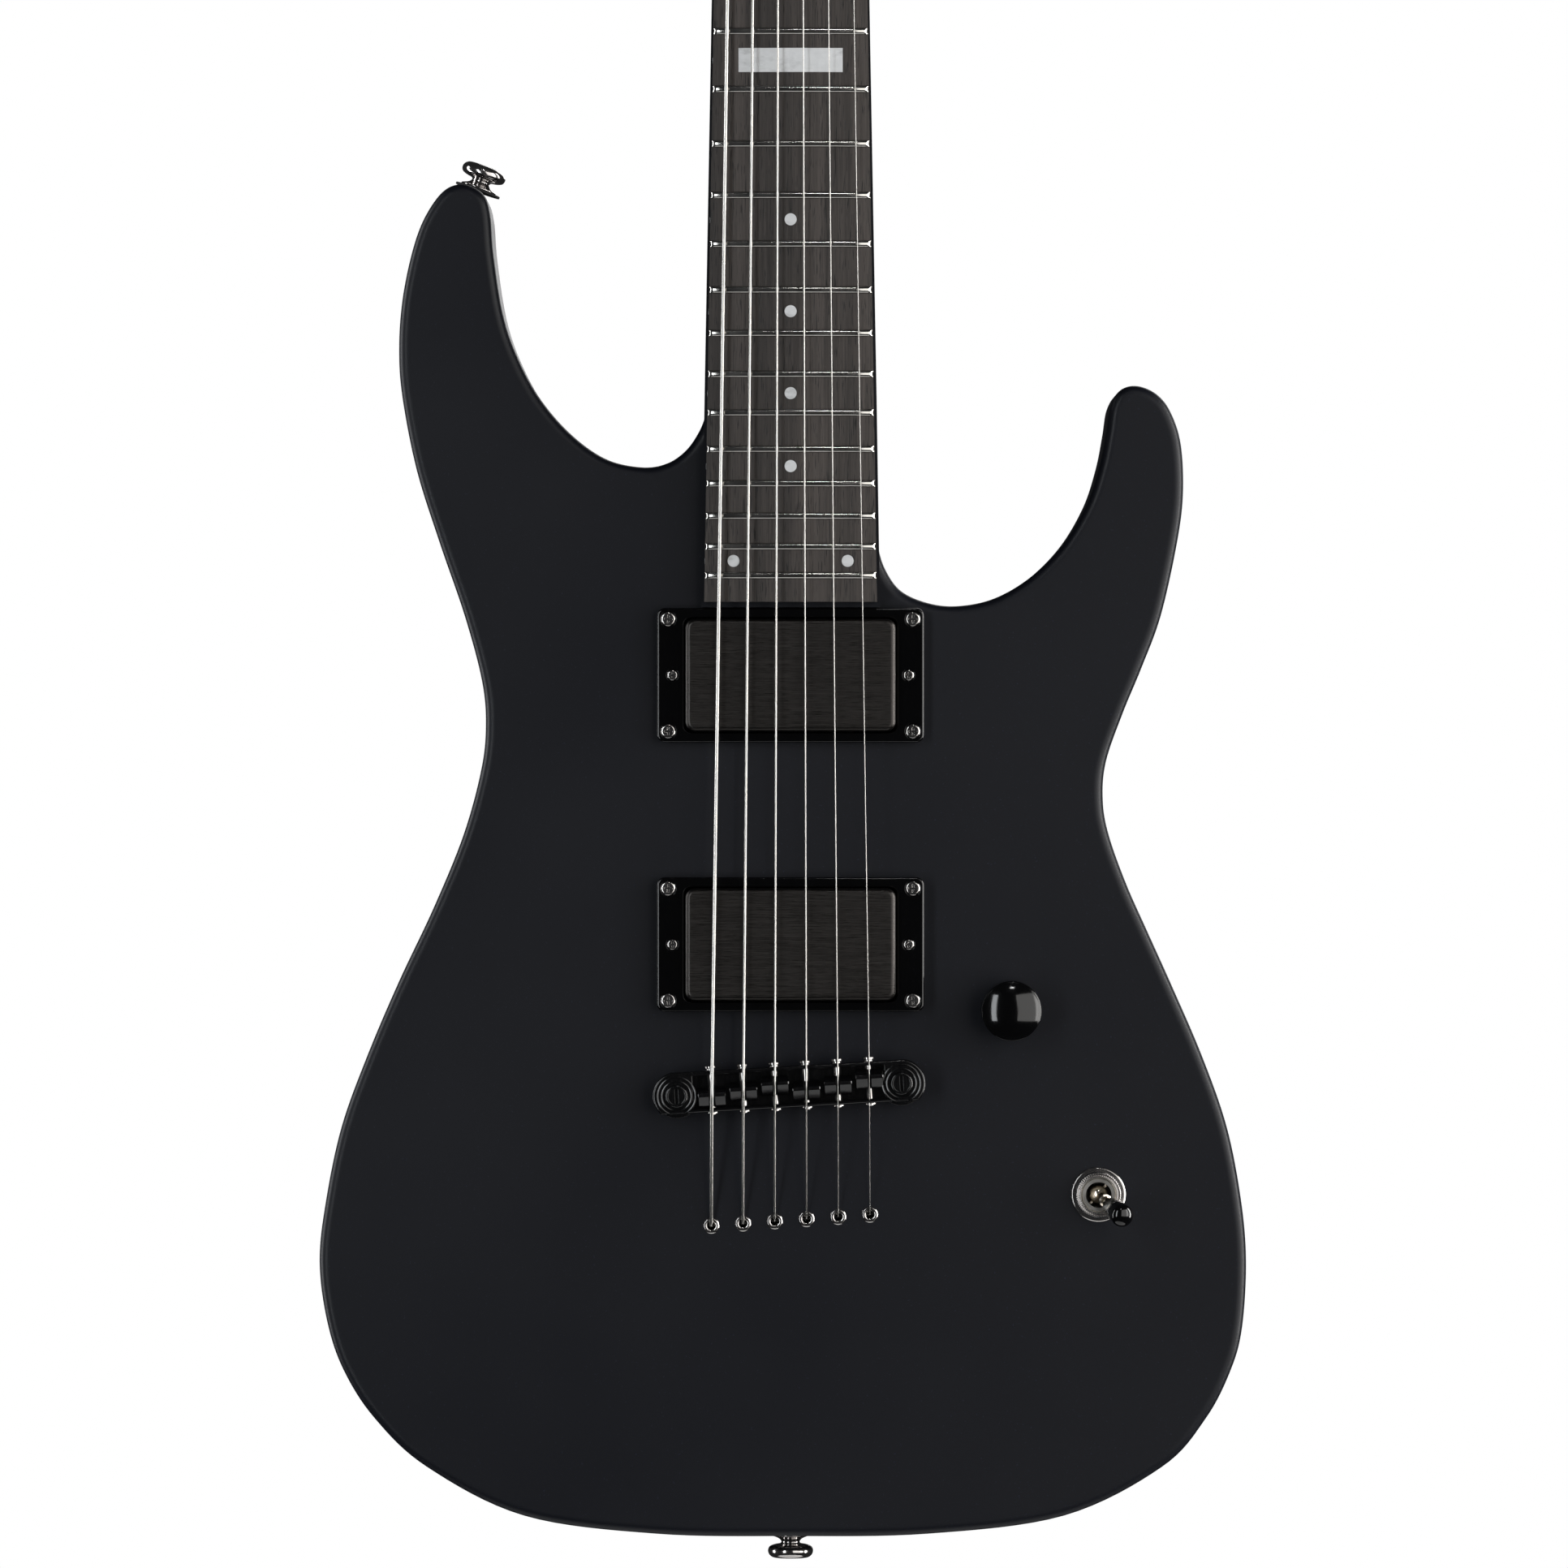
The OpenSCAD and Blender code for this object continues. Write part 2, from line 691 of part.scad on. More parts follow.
// Place of string i in the bridge's frame
function along_beam(i) = (spread(i, bridge_half) - bridge_mid.x) / cos(bridge_slope)
    + crest_ahead[i] * sin(bridge_slope);
function across_beam(i) = crest_ahead[i] * cos(bridge_slope) - crest_off;
module bridge_beam() {
    color([0.07, 0.07, 0.07])
        bridge_frame()
            difference() {
                plate(beam_bottom, beam_bottom - beam_top)
                    union() {
                        translate([0, beam_ahead])
                            square([post_gap, beam_w], center = true);
                        for (x = [-post_gap / 2, post_gap / 2])
                            translate([x, 0])
                                circle(r = 8);
                    }
                plate(beam_top + 5.2, 7)
                    translate([0, beam_ahead])
                        square([channel_l, channel_w], center = true);
                for (x = [-post_gap / 2, post_gap / 2])
                    round_y(x, 0, 0, 3.3, body_t);
                for (i = STRINGS)
                    rod([along_beam(i), screw_y, -10], [along_beam(i), screw_y, 10], intonation_r + 0.04);
                // bevel that the strings pass over on their way to the ferrules
                translate([-channel_l / 2, beam_top, beam_ahead - beam_w / 2])
                    rotate([90, 0, 90])
                        linear_extrude(channel_l)
                            polygon([[-1, -1], [bevel_drop * (1 + 1 / bevel_l), -1], [0, bevel_l], [-1, bevel_l]]);
            }
}
module saddle(i) {
    x = along_beam(i);
    tip_y = string_y + crown(spread(i, bridge_half));
    low_y = beam_top + 5;
    gap = 0.3;
    notch_depth = 2.3;
    color([0.2, 0.2, 0.2])
        bridge_frame()
            difference() {
                translate([x - saddle_w / 2, 0, across_beam(i)])
                    rotate([90, 0, 90])
                        linear_extrude(saddle_w)
                            polygon([
                                [low_y, -saddle_l / 2], [low_y, saddle_l / 2], [beam_top + 0.4, saddle_l / 2],
                                [tip_y - 0.7, crest_off + 0.5], [tip_y - 0.7, crest_off - 0.5],
                                [beam_top + 0.4, -saddle_l / 2]
                            ]);
                rod([x, screw_y, -9], [x, screw_y, 9], intonation_r + 0.07);
                translate([x - string_r[i] - gap, tip_y - 3, -9])
                    cube([2 * (string_r[i] + gap), 3 + notch_depth, 18]);
            }
}
module intonation_screws() {
    color([0.15, 0.15, 0.15])
        bridge_frame()
            for (i = STRINGS)
                let (x = along_beam(i), tail = beam_ahead - beam_w / 2, front = beam_ahead + beam_w / 2)
                    difference() {
                        union() {
                            rod([x, screw_y, tail - 1.1], [x, screw_y, front + 0.8], intonation_r);
                            rod([x, screw_y, front + 0.05], [x, screw_y, front + 1.5], 2);
                        }
                        translate([x - 2.5, screw_y - 0.35, front + 0.8])
                            cube([5, 0.7, 2]);
                    }
}
module bridge_post(k) {
    p = post_marks[k];
    gap = 0.3;
    color([0.07, 0.07, 0.07])
        difference() {
            union() {
                round_y(p.x, top_y + 14, p.y, 4, 14 + 4.5);
                round_y(p.x, beam_bottom + gap + 1.3, p.y, 7.6, 1.3);
                round_y(p.x, beam_bottom + gap, p.y, 3.22, beam_bottom - beam_top + 2 * gap);
                round_y(p.x, beam_top - gap, p.y, 3.75, 1.6);
            }
            translate([p.x - 0.6, beam_top - gap - 3.6, p.y - 5])
                cube([1.2, 3, 10]);
        }
}
module bridge_inserts() {
    color([0.35, 0.35, 0.36])
        for (p = post_marks)
            difference() {
                round_y(p.x, top_y + insert_depth, p.y, insert_r - 0.05, insert_depth + 0.3);
                round_y(p.x, top_y + insert_depth - 2, p.y, 4.1, insert_depth + 3);
            }
}

// ---- Pickups ----
ring_tops = [top_y - 5, top_y - 6.5];
cover_tops = [top_y - 9.6, top_y - 10.6];
pickup_zs = [neck_pickup_z, bridge_pickup_z];
ear_y = top_y + 6.8;
module pickup(k) {
    sheet = 0.8;
    cover_h = ear_y - cover_tops[k];
    translate([0, 0, pickup_zs[k]]) {
        color([0.3, 0.3, 0.31])
            difference() {
                plate(ear_y - 0.02, cover_h)
                    round_rect(cover_l, cover_w, 3);
                plate(ear_y + 1, cover_h + 1 - sheet)
                    round_rect(cover_l - 2 * sheet, cover_w - 2 * sheet, 2.2);
            }
        color([0.1, 0.1, 0.1])
            plate(ear_y - 0.02, cover_h - sheet - 0.1)
                round_rect(cover_l - 2 * sheet - 0.1, cover_w - 2 * sheet - 0.1, 2.2);
        color([0.6, 0.6, 0.6])
            difference() {
                plate(ear_y + 1.6, 1.6)
                    union() {
                        round_rect(cover_l, cover_w, 3);
                        round_rect(86, 12, 2);
                    }
                for (x = [-height_screw_x, height_screw_x])
                    round_y(x, ear_y + 3, 0, 1.32, 5);
            }
    }
}
module pickup_rings() {
    color([0.04, 0.04, 0.04])
        for (k = [0, 1])
            translate([0, 0, pickup_zs[k]])
                difference() {
                    plate(top_y - 0.02, top_y - ring_tops[k])
                        round_rect(ring_l, ring_w, 2.3);
                    plate(top_y + 1, 12)
                        square([cover_l + 0.9, cover_w + 0.9], center = true);
                    for (x = [-ring_screw_x, ring_screw_x])
                        for (z = [-ring_screw_z, ring_screw_z]) {
                            round_y(x, top_y + 1, z, 1.4, 12);
                            round_y(x, ring_tops[k] + 1.3, z, 2.5, 3);
                        }
                    for (x = [-height_screw_x, height_screw_x]) {
                        round_y(x, top_y + 1, 0, 1.4, 12);
                        round_y(x, ring_tops[k] + 1.2, 0, 2, 3);
                    }
                }
}
module ring_screws() {
    color([0.1, 0.1, 0.1])
        for (k = [0, 1])
            translate([0, 0, pickup_zs[k]])
                for (x = [-ring_screw_x, ring_screw_x])
                    for (z = [-ring_screw_z, ring_screw_z])
                        difference() {
                            union() {
                                round_y(x, top_y + 9, z, 1.25, 9 + top_y - ring_tops[k]);
                                round_y(x, ring_tops[k] + 1.28, z, 2.45, 1.6);
                            }
                            translate([0, -0.32, 0])
                                cross_slot(x, ring_tops[k] + 0.8, z, 2.6);
                        }
}
module height_screws() {
    color([0.1, 0.1, 0.1])
        for (k = [0, 1])
            translate([0, 0, pickup_zs[k]])
                for (x = [-height_screw_x, height_screw_x])
                    difference() {
                        union() {
                            round_y(x, ear_y + 6, 0, 1.25, 6 + ear_y - ring_tops[k]);
                            round_y(x, ring_tops[k] + 1.18, 0, 1.85, 1.5);
                        }
                        translate([0, -0.3, 0])
                            cross_slot(x, ring_tops[k] + 0.8, 0, 2.2);
                    }
}
module pickup_springs(k) {
    turns = 4;
    gap = 0.1;
    pitch = (ear_y - top_y - 2 * gap) / turns;
    color([0.7, 0.7, 0.7])
        translate([0, 0, pickup_zs[k]])
            for (x = [-height_screw_x, height_screw_x])
                for (t = [0 : turns - 1])
                    translate([x, ear_y - gap - pitch * (t + 0.5), 0])
                        rotate([90, 0, 0])
                            rotate_extrude()
                                translate([2.1, 0])
                                    circle(r = 0.3, $fn = 16);
}

// ---- Controls ----
shaft_r = 3;
knob_gap = 0.8;
module volume_knob() {
    r = knob_d / 2;
    dome = 3;
    dome_in = 0.85;
    profile = concat(
        [[0, 0], [r, 0], [r, knob_h - dome]],
        [for (a = [15 : 15 : 90]) [r - dome_in * (1 - cos(a)), knob_h - dome + 0.7 * dome * sin(a)]],
        [[r - 3, knob_h - 0.3], [0, knob_h]]
    );
    color([0.04, 0.04, 0.04])
        translate([knob_at.x, top_y - knob_gap, knob_at.y])
            rotate([90, 0, 0])
                difference() {
                    rotate_extrude($fn = 96)
                        polygon(profile);
                    translate([0, 0, -1])
                        cylinder(r = 7.8, h = 5.5);
                    translate([0, 0, -1])
                        cylinder(r = shaft_r + 0.02, h = 12.5);
                }
}
module pot_shaft() {
    color([0.7, 0.7, 0.7])
        round_y(knob_at.x, cavity_floor + 5, knob_at.y, shaft_r, 5 + cavity_floor - top_y + knob_gap + 11);
}
module volume_pot() {
    color([0.55, 0.55, 0.55])
        difference() {
            union() {
                round_y(knob_at.x, cavity_floor + 9, knob_at.y, 8.6, 8.95);
                round_y(knob_at.x, cavity_floor + 1, knob_at.y, 4.75, 1 + top_skin + 2.6);
                for (z = [-5, 0, 5])
                    translate([knob_at.x - 14, cavity_floor + 2, knob_at.y + z - 0.8])
                        cube([8, 0.8, 1.6]);
            }
            round_y(knob_at.x, cavity_floor + 5.5, knob_at.y, shaft_r + 0.06, 30);
        }
}
throw_turn = 40.1;
pivot_y = top_y + 1;
pivot_pin_half = 4;
module switch_frame_of() {
    translate([switch_at.x, 0, switch_at.y])
        rotate([0, throw_turn, 0])
            children();
}
// The lever's own frame, leaning as at rest, with z out of the body
module lever_frame() {
    switch_frame_of()
        translate([0, pivot_y, 0])
            rotate([0, 0, lever_lean])
                rotate([90, 0, 0])
                    children();
}
module switch_lever() {
    color([0.75, 0.74, 0.7])
        lever_frame() {
            sphere(r = 3.4);
            rod([0, -pivot_pin_half, 0], [0, pivot_pin_half, 0], 0.8);
            translate([0, 0, -7])
                cylinder(r = 1.6, h = 26);
        }
}
module switch_tip() {
    color([0.04, 0.04, 0.04])
        lever_frame()
            difference() {
                rotate_extrude()
                    polygon([
                        [0, 11.5], [2.2, 11.5], [2.7, 12.4], [3.8, 24.6],
                        for (a = [0 : 18 : 90]) [3.8 * cos(a), 25 + 2.6 * sin(a)]
                    ]);
                cylinder(r = 1.62, h = 19.5);
            }
}
module switch_frame() {
    color([0.6, 0.6, 0.6])
        switch_frame_of()
            difference() {
                union() {
                    round_y(0, cavity_floor + 1, 0, 5.9, 1 + top_skin + 4.4);
                    translate([-15, cavity_floor + 0.05, -7])
                        cube([30, 20, 14]);
                }
                translate([-13, cavity_floor + 1.5, -5.6])
                    cube([26, 17, 11.2]);
                round_y(0, cavity_floor + 3, 0, 4.3, 20);
            }
}
module mounting_nuts() {
    color([0.6, 0.6, 0.6]) {
        difference() {
            union() {
                round_y(knob_at.x, top_y - 0.02, knob_at.y, 6.6, 0.6);
                translate([knob_at.x, 0, knob_at.y])
                    plate(top_y - 0.66, 2)
                        circle(d = 12.7, $fn = 6);
            }
            round_y(knob_at.x, 0, knob_at.y, 4.8, body_t);
        }
        switch_frame_of()
            difference() {
                union() {
                    round_y(0, top_y - 0.02, 0, 9.15, 0.9);
                    round_y(0, top_y - 0.95, 0, 7.8, 2.9);
                }
                round_y(0, 0, 0, 5.95, body_t);
            }
        difference() {
            union() {
                rod([jack_face_x + 0.03, 0, jack_z], [jack_face_x + 1, 0, jack_z], 9.5);
                translate([jack_face_x + 1.04, 0, jack_z])
                    rotate([0, 90, 0])
                        cylinder(d = 14.5, h = 2.4, $fn = 6);
            }
            rod([140, 0, jack_z], [160, 0, jack_z], 4.8);
        }
    }
}
module output_jack() {
    bore_l = 31;
    mouth_x = jack_face_x + 4.4;
    color([0.65, 0.65, 0.65])
        difference() {
            union() {
                rod([mouth_x - 12, 0, jack_z], [mouth_x, 0, jack_z], 4.75);
                rod([jack_face_x - 30, 0, jack_z], [jack_face_x - 2, 0, jack_z], jack_r);
            }
            rod([mouth_x - bore_l, 0, jack_z], [mouth_x + 1, 0, jack_z], 3.2);
        }
}
battery_at = [94, 4, 68];
module battery() {
    color([0.15, 0.15, 0.17])
        translate(battery_at)
            rotate([0, 20, 0]) {
                cube([26, 17, 42], center = true);
                translate([0, 0, 22.8])
                    cube([25, 16, 3.4], center = true);
            }
}
neck_lead = [[18, -5, 280], [20, -5, 270], [20, -5, 240], [20, -5, 216], [24, -5, 200], [36, -4, 191.5],
    [50, -4, 191.5], [62, -3, 191], [66, 0, 186], [63, 1, 176]];
bridge_lead = [[-10, -5, 204], [4, -5, 196], [20, -5, 188.5], [36, -6, 188.5], [50, -6, 188.5],
    [60, -6, 188], [63, -4, 182], [62, -4, 174]];
jack_lead = [[84, -2, 168], [96, 0, 160], [110, 6, 146], [122, 8, 128], [122, 7, 108], [115, 4, 97],
    [113.2, 1, 91.5], [115.4, 0, 88.4]];
battery_lead = [[106.5, 4, 93], [110, 8, 104], [108, 12, 122], [98, 12, 146], [86, 8, 158], [80, 3, 166]];
module wiring() {
    color([0.15, 0.15, 0.15]) {
        tube(smooth(neck_lead, 3), 1.1, [0, 1, 0.1], 6);
        tube(smooth(bridge_lead, 3), 1.1, [0, 1, 0.1], 6);
        tube(smooth(jack_lead, 3), 1.1, [0, 1, 0.1], 6);
        tube(smooth(battery_lead, 3), 0.9, [0, 1, 0.1], 6);
    }
}
// How far the cover's screws are sunk below the back
screw_sink = 1.4;
module control_cover() {
    color([0.07, 0.07, 0.07])
        difference() {
            plate(back_y - 0.1, recess_depth - 0.4)
                cavity_shape(recess_rim - 0.3);
            for (s = cover_screw_marks) {
                round_y(s.x, back_y + 1, s.y, 1.3, 6);
                round_y(s.x, back_y + 1, s.y, 2.6, 1 + screw_sink);
            }
        }
}
module small_screw(x, z, y, l) {
    difference() {
        union() {
            round_y(x, y, z, 1.1, l);
            round_y(x, y + 1.1, z, 2.4, 1.05);
        }
        cross_slot(x, y + 1.9, z, 2.4);
    }
}
module cover_screws() {
    color([0.1, 0.1, 0.1]) {
        for (s = cover_screw_marks)
            small_screw(s.x, s.y, back_y - screw_sink, 11);
        head_frame()
            for (s = cover_marks)
                difference() {
                    union() {
                        round_y(s.x, 7, s.y, 0.85, 9.1);
                        round_y(s.x, -2.05, s.y, 2, 0.95);
                    }
                    cross_slot(s.x, -2.5, s.y, 2.2);
                }
    }
}

// ---- Strap buttons ----
felt_t = 0.8;
button_h = 8;
module at_straps() {
    rotate([180, 0, 0])
        children();
    translate([strap_top.x, 0, strap_top.y])
        rotate([0, strap_top_turn, 0])
            children();
}
module strap_buttons() {
    color([0.15, 0.15, 0.16])
        at_straps()
            translate([0, 0, felt_t])
                difference() {
                    rotate_extrude()
                        polygon([
                            [0, 0], [6, 0], [6, 0.6], [4, 1.4], [3.15, 2.3], [3.4, 3], [6.6, 3.9], [7.5, 5],
                            [7.6, 6], [7, 7.3], [5.6, button_h], [0, button_h]
                        ]);
                    translate([0, 0, -1])
                        cylinder(r = 2.1, h = 12);
                    translate([0, 0, button_h - 3])
                        cylinder(r = 4.1, h = 4);
                }
}
module strap_screws() {
    color([0.2, 0.2, 0.2])
        at_straps()
            translate([0, 0, felt_t + button_h - 2.95])
                difference() {
                    union() {
                        cylinder(r = 4, h = 2.2);
                        translate([0, 0, -26])
                            cylinder(r = 1.85, h = 26.1);
                    }
                    for (a = [0, 90])
                        rotate(a)
                            translate([-2.2, -0.35, 1])
                                cube([4.4, 0.7, 2]);
                }
}
module strap_felts() {
    color([0.05, 0.05, 0.05])
        at_straps()
            translate([0, 0, 0.02])
                difference() {
                    cylinder(r = 7.8, h = felt_t - 0.04);
                    translate([0, 0, -1])
                        cylinder(r = 2.1, h = 3);
                }
}

body();
neck();
fretboard();
frets();
nut();
inlays();
truss_rod();
truss_rod_nut();
truss_rod_cover();
tuner_housings();
tuner_bushings();
tuner_screws();
tuner_button(0);  // tuner_button_1
tuner_button(1);  // tuner_button_2
tuner_button(2);  // tuner_button_3
tuner_button(3);  // tuner_button_4
tuner_button(4);  // tuner_button_5
tuner_button(5);  // tuner_button_6
tuner_post(0);  // tuner_post_1
tuner_post(1);  // tuner_post_2
tuner_post(2);  // tuner_post_3
tuner_post(3);  // tuner_post_4
tuner_post(4);  // tuner_post_5
tuner_post(5);  // tuner_post_6
strings();
string_ferrules();
bridge_beam();
bridge_post(0);  // bridge_post_bass
bridge_post(1);  // bridge_post_treble
bridge_inserts();
saddle(0);  // saddle_1
saddle(1);  // saddle_2
saddle(2);  // saddle_3
saddle(3);  // saddle_4
saddle(4);  // saddle_5
saddle(5);  // saddle_6
intonation_screws();
pickup(0);  // neck_pickup
pickup(1);  // bridge_pickup
pickup_rings();
ring_screws();
height_screws();
pickup_springs(0);  // neck_pickup_springs
pickup_springs(1);  // bridge_pickup_springs
volume_knob();
pot_shaft();
volume_pot();
switch_lever();
switch_tip();
switch_frame();
mounting_nuts();
output_jack();
battery();
wiring();
control_cover();
cover_screws();
strap_buttons();
strap_screws();
strap_felts();
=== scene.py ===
"""Looks of an electric guitar: lacquered wood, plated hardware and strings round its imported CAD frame.

Shapes are worked out in millimetres, x to the treble side, y to the back and z up the neck, and become
metres when a piece is made.
"""
import math
from typing import NamedTuple

import bmesh
import bpy
import numpy as np
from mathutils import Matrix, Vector
from mathutils.geometry import tessellate_polygon


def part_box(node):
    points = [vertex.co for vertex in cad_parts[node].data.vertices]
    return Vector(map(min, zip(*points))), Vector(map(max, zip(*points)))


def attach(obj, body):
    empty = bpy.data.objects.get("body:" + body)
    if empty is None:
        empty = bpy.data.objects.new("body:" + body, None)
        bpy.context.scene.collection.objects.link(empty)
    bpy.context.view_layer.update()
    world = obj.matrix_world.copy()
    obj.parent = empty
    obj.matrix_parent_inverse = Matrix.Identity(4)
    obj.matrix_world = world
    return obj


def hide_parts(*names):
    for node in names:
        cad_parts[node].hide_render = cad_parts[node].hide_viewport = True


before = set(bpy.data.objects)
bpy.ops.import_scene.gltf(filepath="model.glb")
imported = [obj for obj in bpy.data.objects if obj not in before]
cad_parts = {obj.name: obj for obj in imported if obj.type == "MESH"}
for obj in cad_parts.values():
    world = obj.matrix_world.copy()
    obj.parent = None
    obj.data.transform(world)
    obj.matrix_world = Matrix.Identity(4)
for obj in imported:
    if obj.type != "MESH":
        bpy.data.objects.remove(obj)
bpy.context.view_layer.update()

bl_info = {
    "name": "Electric Guitar",
    "version": (1, 0, 0),
    "blender": (4, 5, 0),
    "location": "3D View > Sidebar > Guitar",
    "description": "Builds the visible pieces of an electric guitar round its CAD frame",
    "category": "Add Mesh",
}

MM = 0.001


# ---- Places, from the frame and the instrument's own layout ----
def box_mm(node):
    """Lowest and highest corner of a node of the frame, in millimetres."""
    low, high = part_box(node)
    return np.array(low) / MM, np.array(high) / MM


TOP_Y, BACK_Y = (corner[1] for corner in box_mm("body"))
BOARD_LOW, BOARD_HIGH = box_mm("fretboard")
BOARD_Y, HEEL_Y = BOARD_LOW[1], BOARD_HIGH[1]
BOARD_Z, NUT_Z = BOARD_LOW[2], BOARD_HIGH[2]
BOARD_END_W = BOARD_HIGH[0] - BOARD_LOW[0]
SCALE_LENGTH = 648
SADDLE_Z = NUT_Z - SCALE_LENGTH
NUT_W = 42
NUT_LENGTH = 5
CROWN_R = 350
FRETS = 24

STRINGS = range(6)
STRING_R = [0.58, 0.46, 0.33, 0.22, 0.17, 0.13]
STRING_Y = TOP_Y - 13.7
NUT_HALF = 16.8
BRIDGE_HALF = 26.2
CREST_AHEAD = [-0.1, 1.2, 2.5, 0.2, 1.4, 2.9]
FERRULE_TOP = 0.4
FERRULE_BORE = 7.9
BALL_Y = BACK_Y - FERRULE_BORE + 2

BRIDGE_MID = (-0.5, 149.7)
BRIDGE_SLOPE = 3.3
POST_GAP = 75
BEAM_TOP = TOP_Y - 11.1
BEAM_BOTTOM = TOP_Y - 4.8
BEAM_W = 13.8
BEAM_AHEAD = 1
BEAM_END_R = 8
BEVEL = (2.475, 1.1)
CHANNEL = (64, 11.1)
SADDLE = (9.2, 6.4)
CREST_OFF = 0.8
INTONATION_Y = BEAM_TOP + 3.1

PICKUP_Z = (287.8, 198)
RING = (89.1, 44.8)
RING_TOP = (TOP_Y - 5, TOP_Y - 6.5)
COVER = (70.1, 37.4)
COVER_TOP = (TOP_Y - 9.6, TOP_Y - 10.6)
EAR_Y = TOP_Y + 6.8
RING_SCREW = (40.8, 18.7)
HEIGHT_SCREW_X = 39.4

KNOB = (73.5, 176)
KNOB_D = 20
KNOB_H = 16
KNOB_GAP = 0.8
SWITCH = (102.8, 114.4)
SWITCH_TURN = 40.1
SWITCH_LEAN = 22
PIVOT_Y = TOP_Y + 1
JACK_Z = 88
JACK_FACE_X = 147

STRAP_TOP = (-105.4, 450.9)
STRAP_TURN = 20
FELT_T = 0.8

HEAD_TILT = 8
HEAD_T = 15
POST_FIRST = np.array([-19.9, 30])
POST_LAST = np.array([13.4, 154])
POST_TURN = math.degrees(math.atan2(*(POST_LAST - POST_FIRST)))
WORM_Y = HEAD_T + 6.3
WORM_Z = 7.8

CAVITY_MARKS = [(76, 176, 20), (106, 112, 26), (92, 66, 25)]
CAVITY_FLOOR = TOP_Y + 6
RECESS_RIM = 7
RECESS_DEPTH = 3
SCREW_SINK = 1.4
COVER_SCREWS = [(58, 191), (88, 196.3), (131.9, 126.3), (58, 118), (68.6, 49.6), (108.4, 42.6)]
ROD_COVER_SCREWS = [(0, 30.5), (-7.5, 3.2), (7.5, 3.2)]

# Body outline seen from the front, clockwise from the treble side of the neck
OUTLINE_MARKS = [
    (29, 340), (29.3, 331), (31.8, 323), (37, 316), (46, 312), (56, 311), (68, 313.5), (80, 320.5),
    (91, 331.5), (99, 345), (103.3, 358), (105.5, 369), (107, 378), (110.3, 383.2), (115.8, 384.6),
    (122.2, 382), (127, 376), (130.5, 365), (131.2, 348), (129, 331), (123.7, 307.5), (117.2, 290),
    (111, 275), (105.4, 258.8), (104.4, 246), (106.4, 234.4), (112.2, 218.2), (119.4, 202), (126.8, 185.6),
    (137.4, 161), (145.8, 137), (150.6, 112.5), (152.3, 92), (151, 70), (147.2, 55.6), (138.8, 39.3),
    (124, 23), (91.3, 6.8), (46, 0.8), (0, 0), (-45, 0.8), (-89, 6.8), (-121.4, 23), (-139, 39.3),
    (-149.5, 55.6), (-155, 72), (-157.5, 92), (-155.3, 112.5), (-150.1, 137), (-141.4, 161), (-130.9, 185.6),
    (-119.4, 210), (-109.4, 234.4), (-103.5, 256), (-101.9, 271), (-103.2, 286), (-108.9, 307.5),
    (-117.3, 332), (-125, 356.4), (-129.8, 380.8), (-130.9, 397), (-129.8, 413.3), (-126.5, 429.5),
    (-122.3, 441), (-116, 449.8), (-109.3, 452), (-102.8, 448.8), (-100.4, 442), (-99.3, 429),
    (-96.4, 410), (-92, 396), (-84.5, 381.5), (-74, 369), (-62, 360.3), (-50, 357.4), (-41.5, 358.6),
    (-35, 363), (-30.5, 369.5), (-28, 376),
]
HEAD_OUTLINE_MARKS = [
    (-21, -3.5), (-21, 3), (-23.5, 12), (-29, 19), (-34.5, 25), (-35.8, 33), (-27, 66), (-18, 100), (-9, 134),
    (-3, 156), (2, 167), (11, 175), (21, 176), (29, 170), (32, 158), (31, 130), (28, 80), (24.5, 35),
    (21.6, 10), (21, -3.5),
]


def crown(x):
    """Fall of the crowned fretboard at x from its middle: x squared over twice the crown's radius."""
    return np.square(x) / (2 * CROWN_R)


def fret_z(n):
    """Height of fret n: each fret leaves the twelfth root of a half of the string's length."""
    return SADDLE_Z + SCALE_LENGTH * 2 ** (-n / 12)


def board_w(z):
    """Width of the fretboard, which grows evenly from the nut to the body."""
    return NUT_W + (BOARD_END_W - NUT_W) * (NUT_Z - z) / (NUT_Z - BOARD_Z)


def spread(i, half):
    """Place of string i across the strings, evenly from -half to half."""
    return half * (2 * i / 5 - 1)


def ferrule_at(i):
    return spread(i, 26.5), 105.8 + spread(i, 1.85)


def post_at(i):
    return POST_FIRST + (POST_LAST - POST_FIRST) * i / 5


def post_height(i):
    """Height of a tuner's post above the headstock: each is a little lower than the one before."""
    return 8 - 0.25 * i


# ---- Frames: a four-by-four matrix takes a piece from its own place to the guitar's ----
def move(x, y, z):
    matrix = np.eye(4)
    matrix[:3, 3] = x, y, z
    return matrix


def turn(axis, degrees):
    """Right-handed turn about x, y or z (0, 1 or 2)."""
    c, s = math.cos(math.radians(degrees)), math.sin(math.radians(degrees))
    a, b = [(1, 2), (2, 0), (0, 1)][axis]
    matrix = np.eye(4)
    matrix[a, a], matrix[a, b], matrix[b, a], matrix[b, b] = c, -s, s, c
    return matrix


X, Y, Z = range(3)
FACING_FRONT = turn(X, 90)
FACING_BACK = turn(X, -90)
HEAD = move(0, HEEL_Y + 0.5, NUT_Z + NUT_LENGTH) @ turn(X, -HEAD_TILT)
BRIDGE = move(BRIDGE_MID[0], 0, BRIDGE_MID[1]) @ turn(Y, -BRIDGE_SLOPE)
SWITCH_FRAME = move(SWITCH[0], 0, SWITCH[1]) @ turn(Y, SWITCH_TURN)
LEVER = SWITCH_FRAME @ move(0, PIVOT_Y, 0) @ turn(Z, SWITCH_LEAN) @ FACING_FRONT
JACK = move(JACK_FACE_X, 0, JACK_Z) @ turn(Y, 90)
STRAPS = [turn(X, 180), move(STRAP_TOP[0], 0, STRAP_TOP[1]) @ turn(Y, STRAP_TURN)]


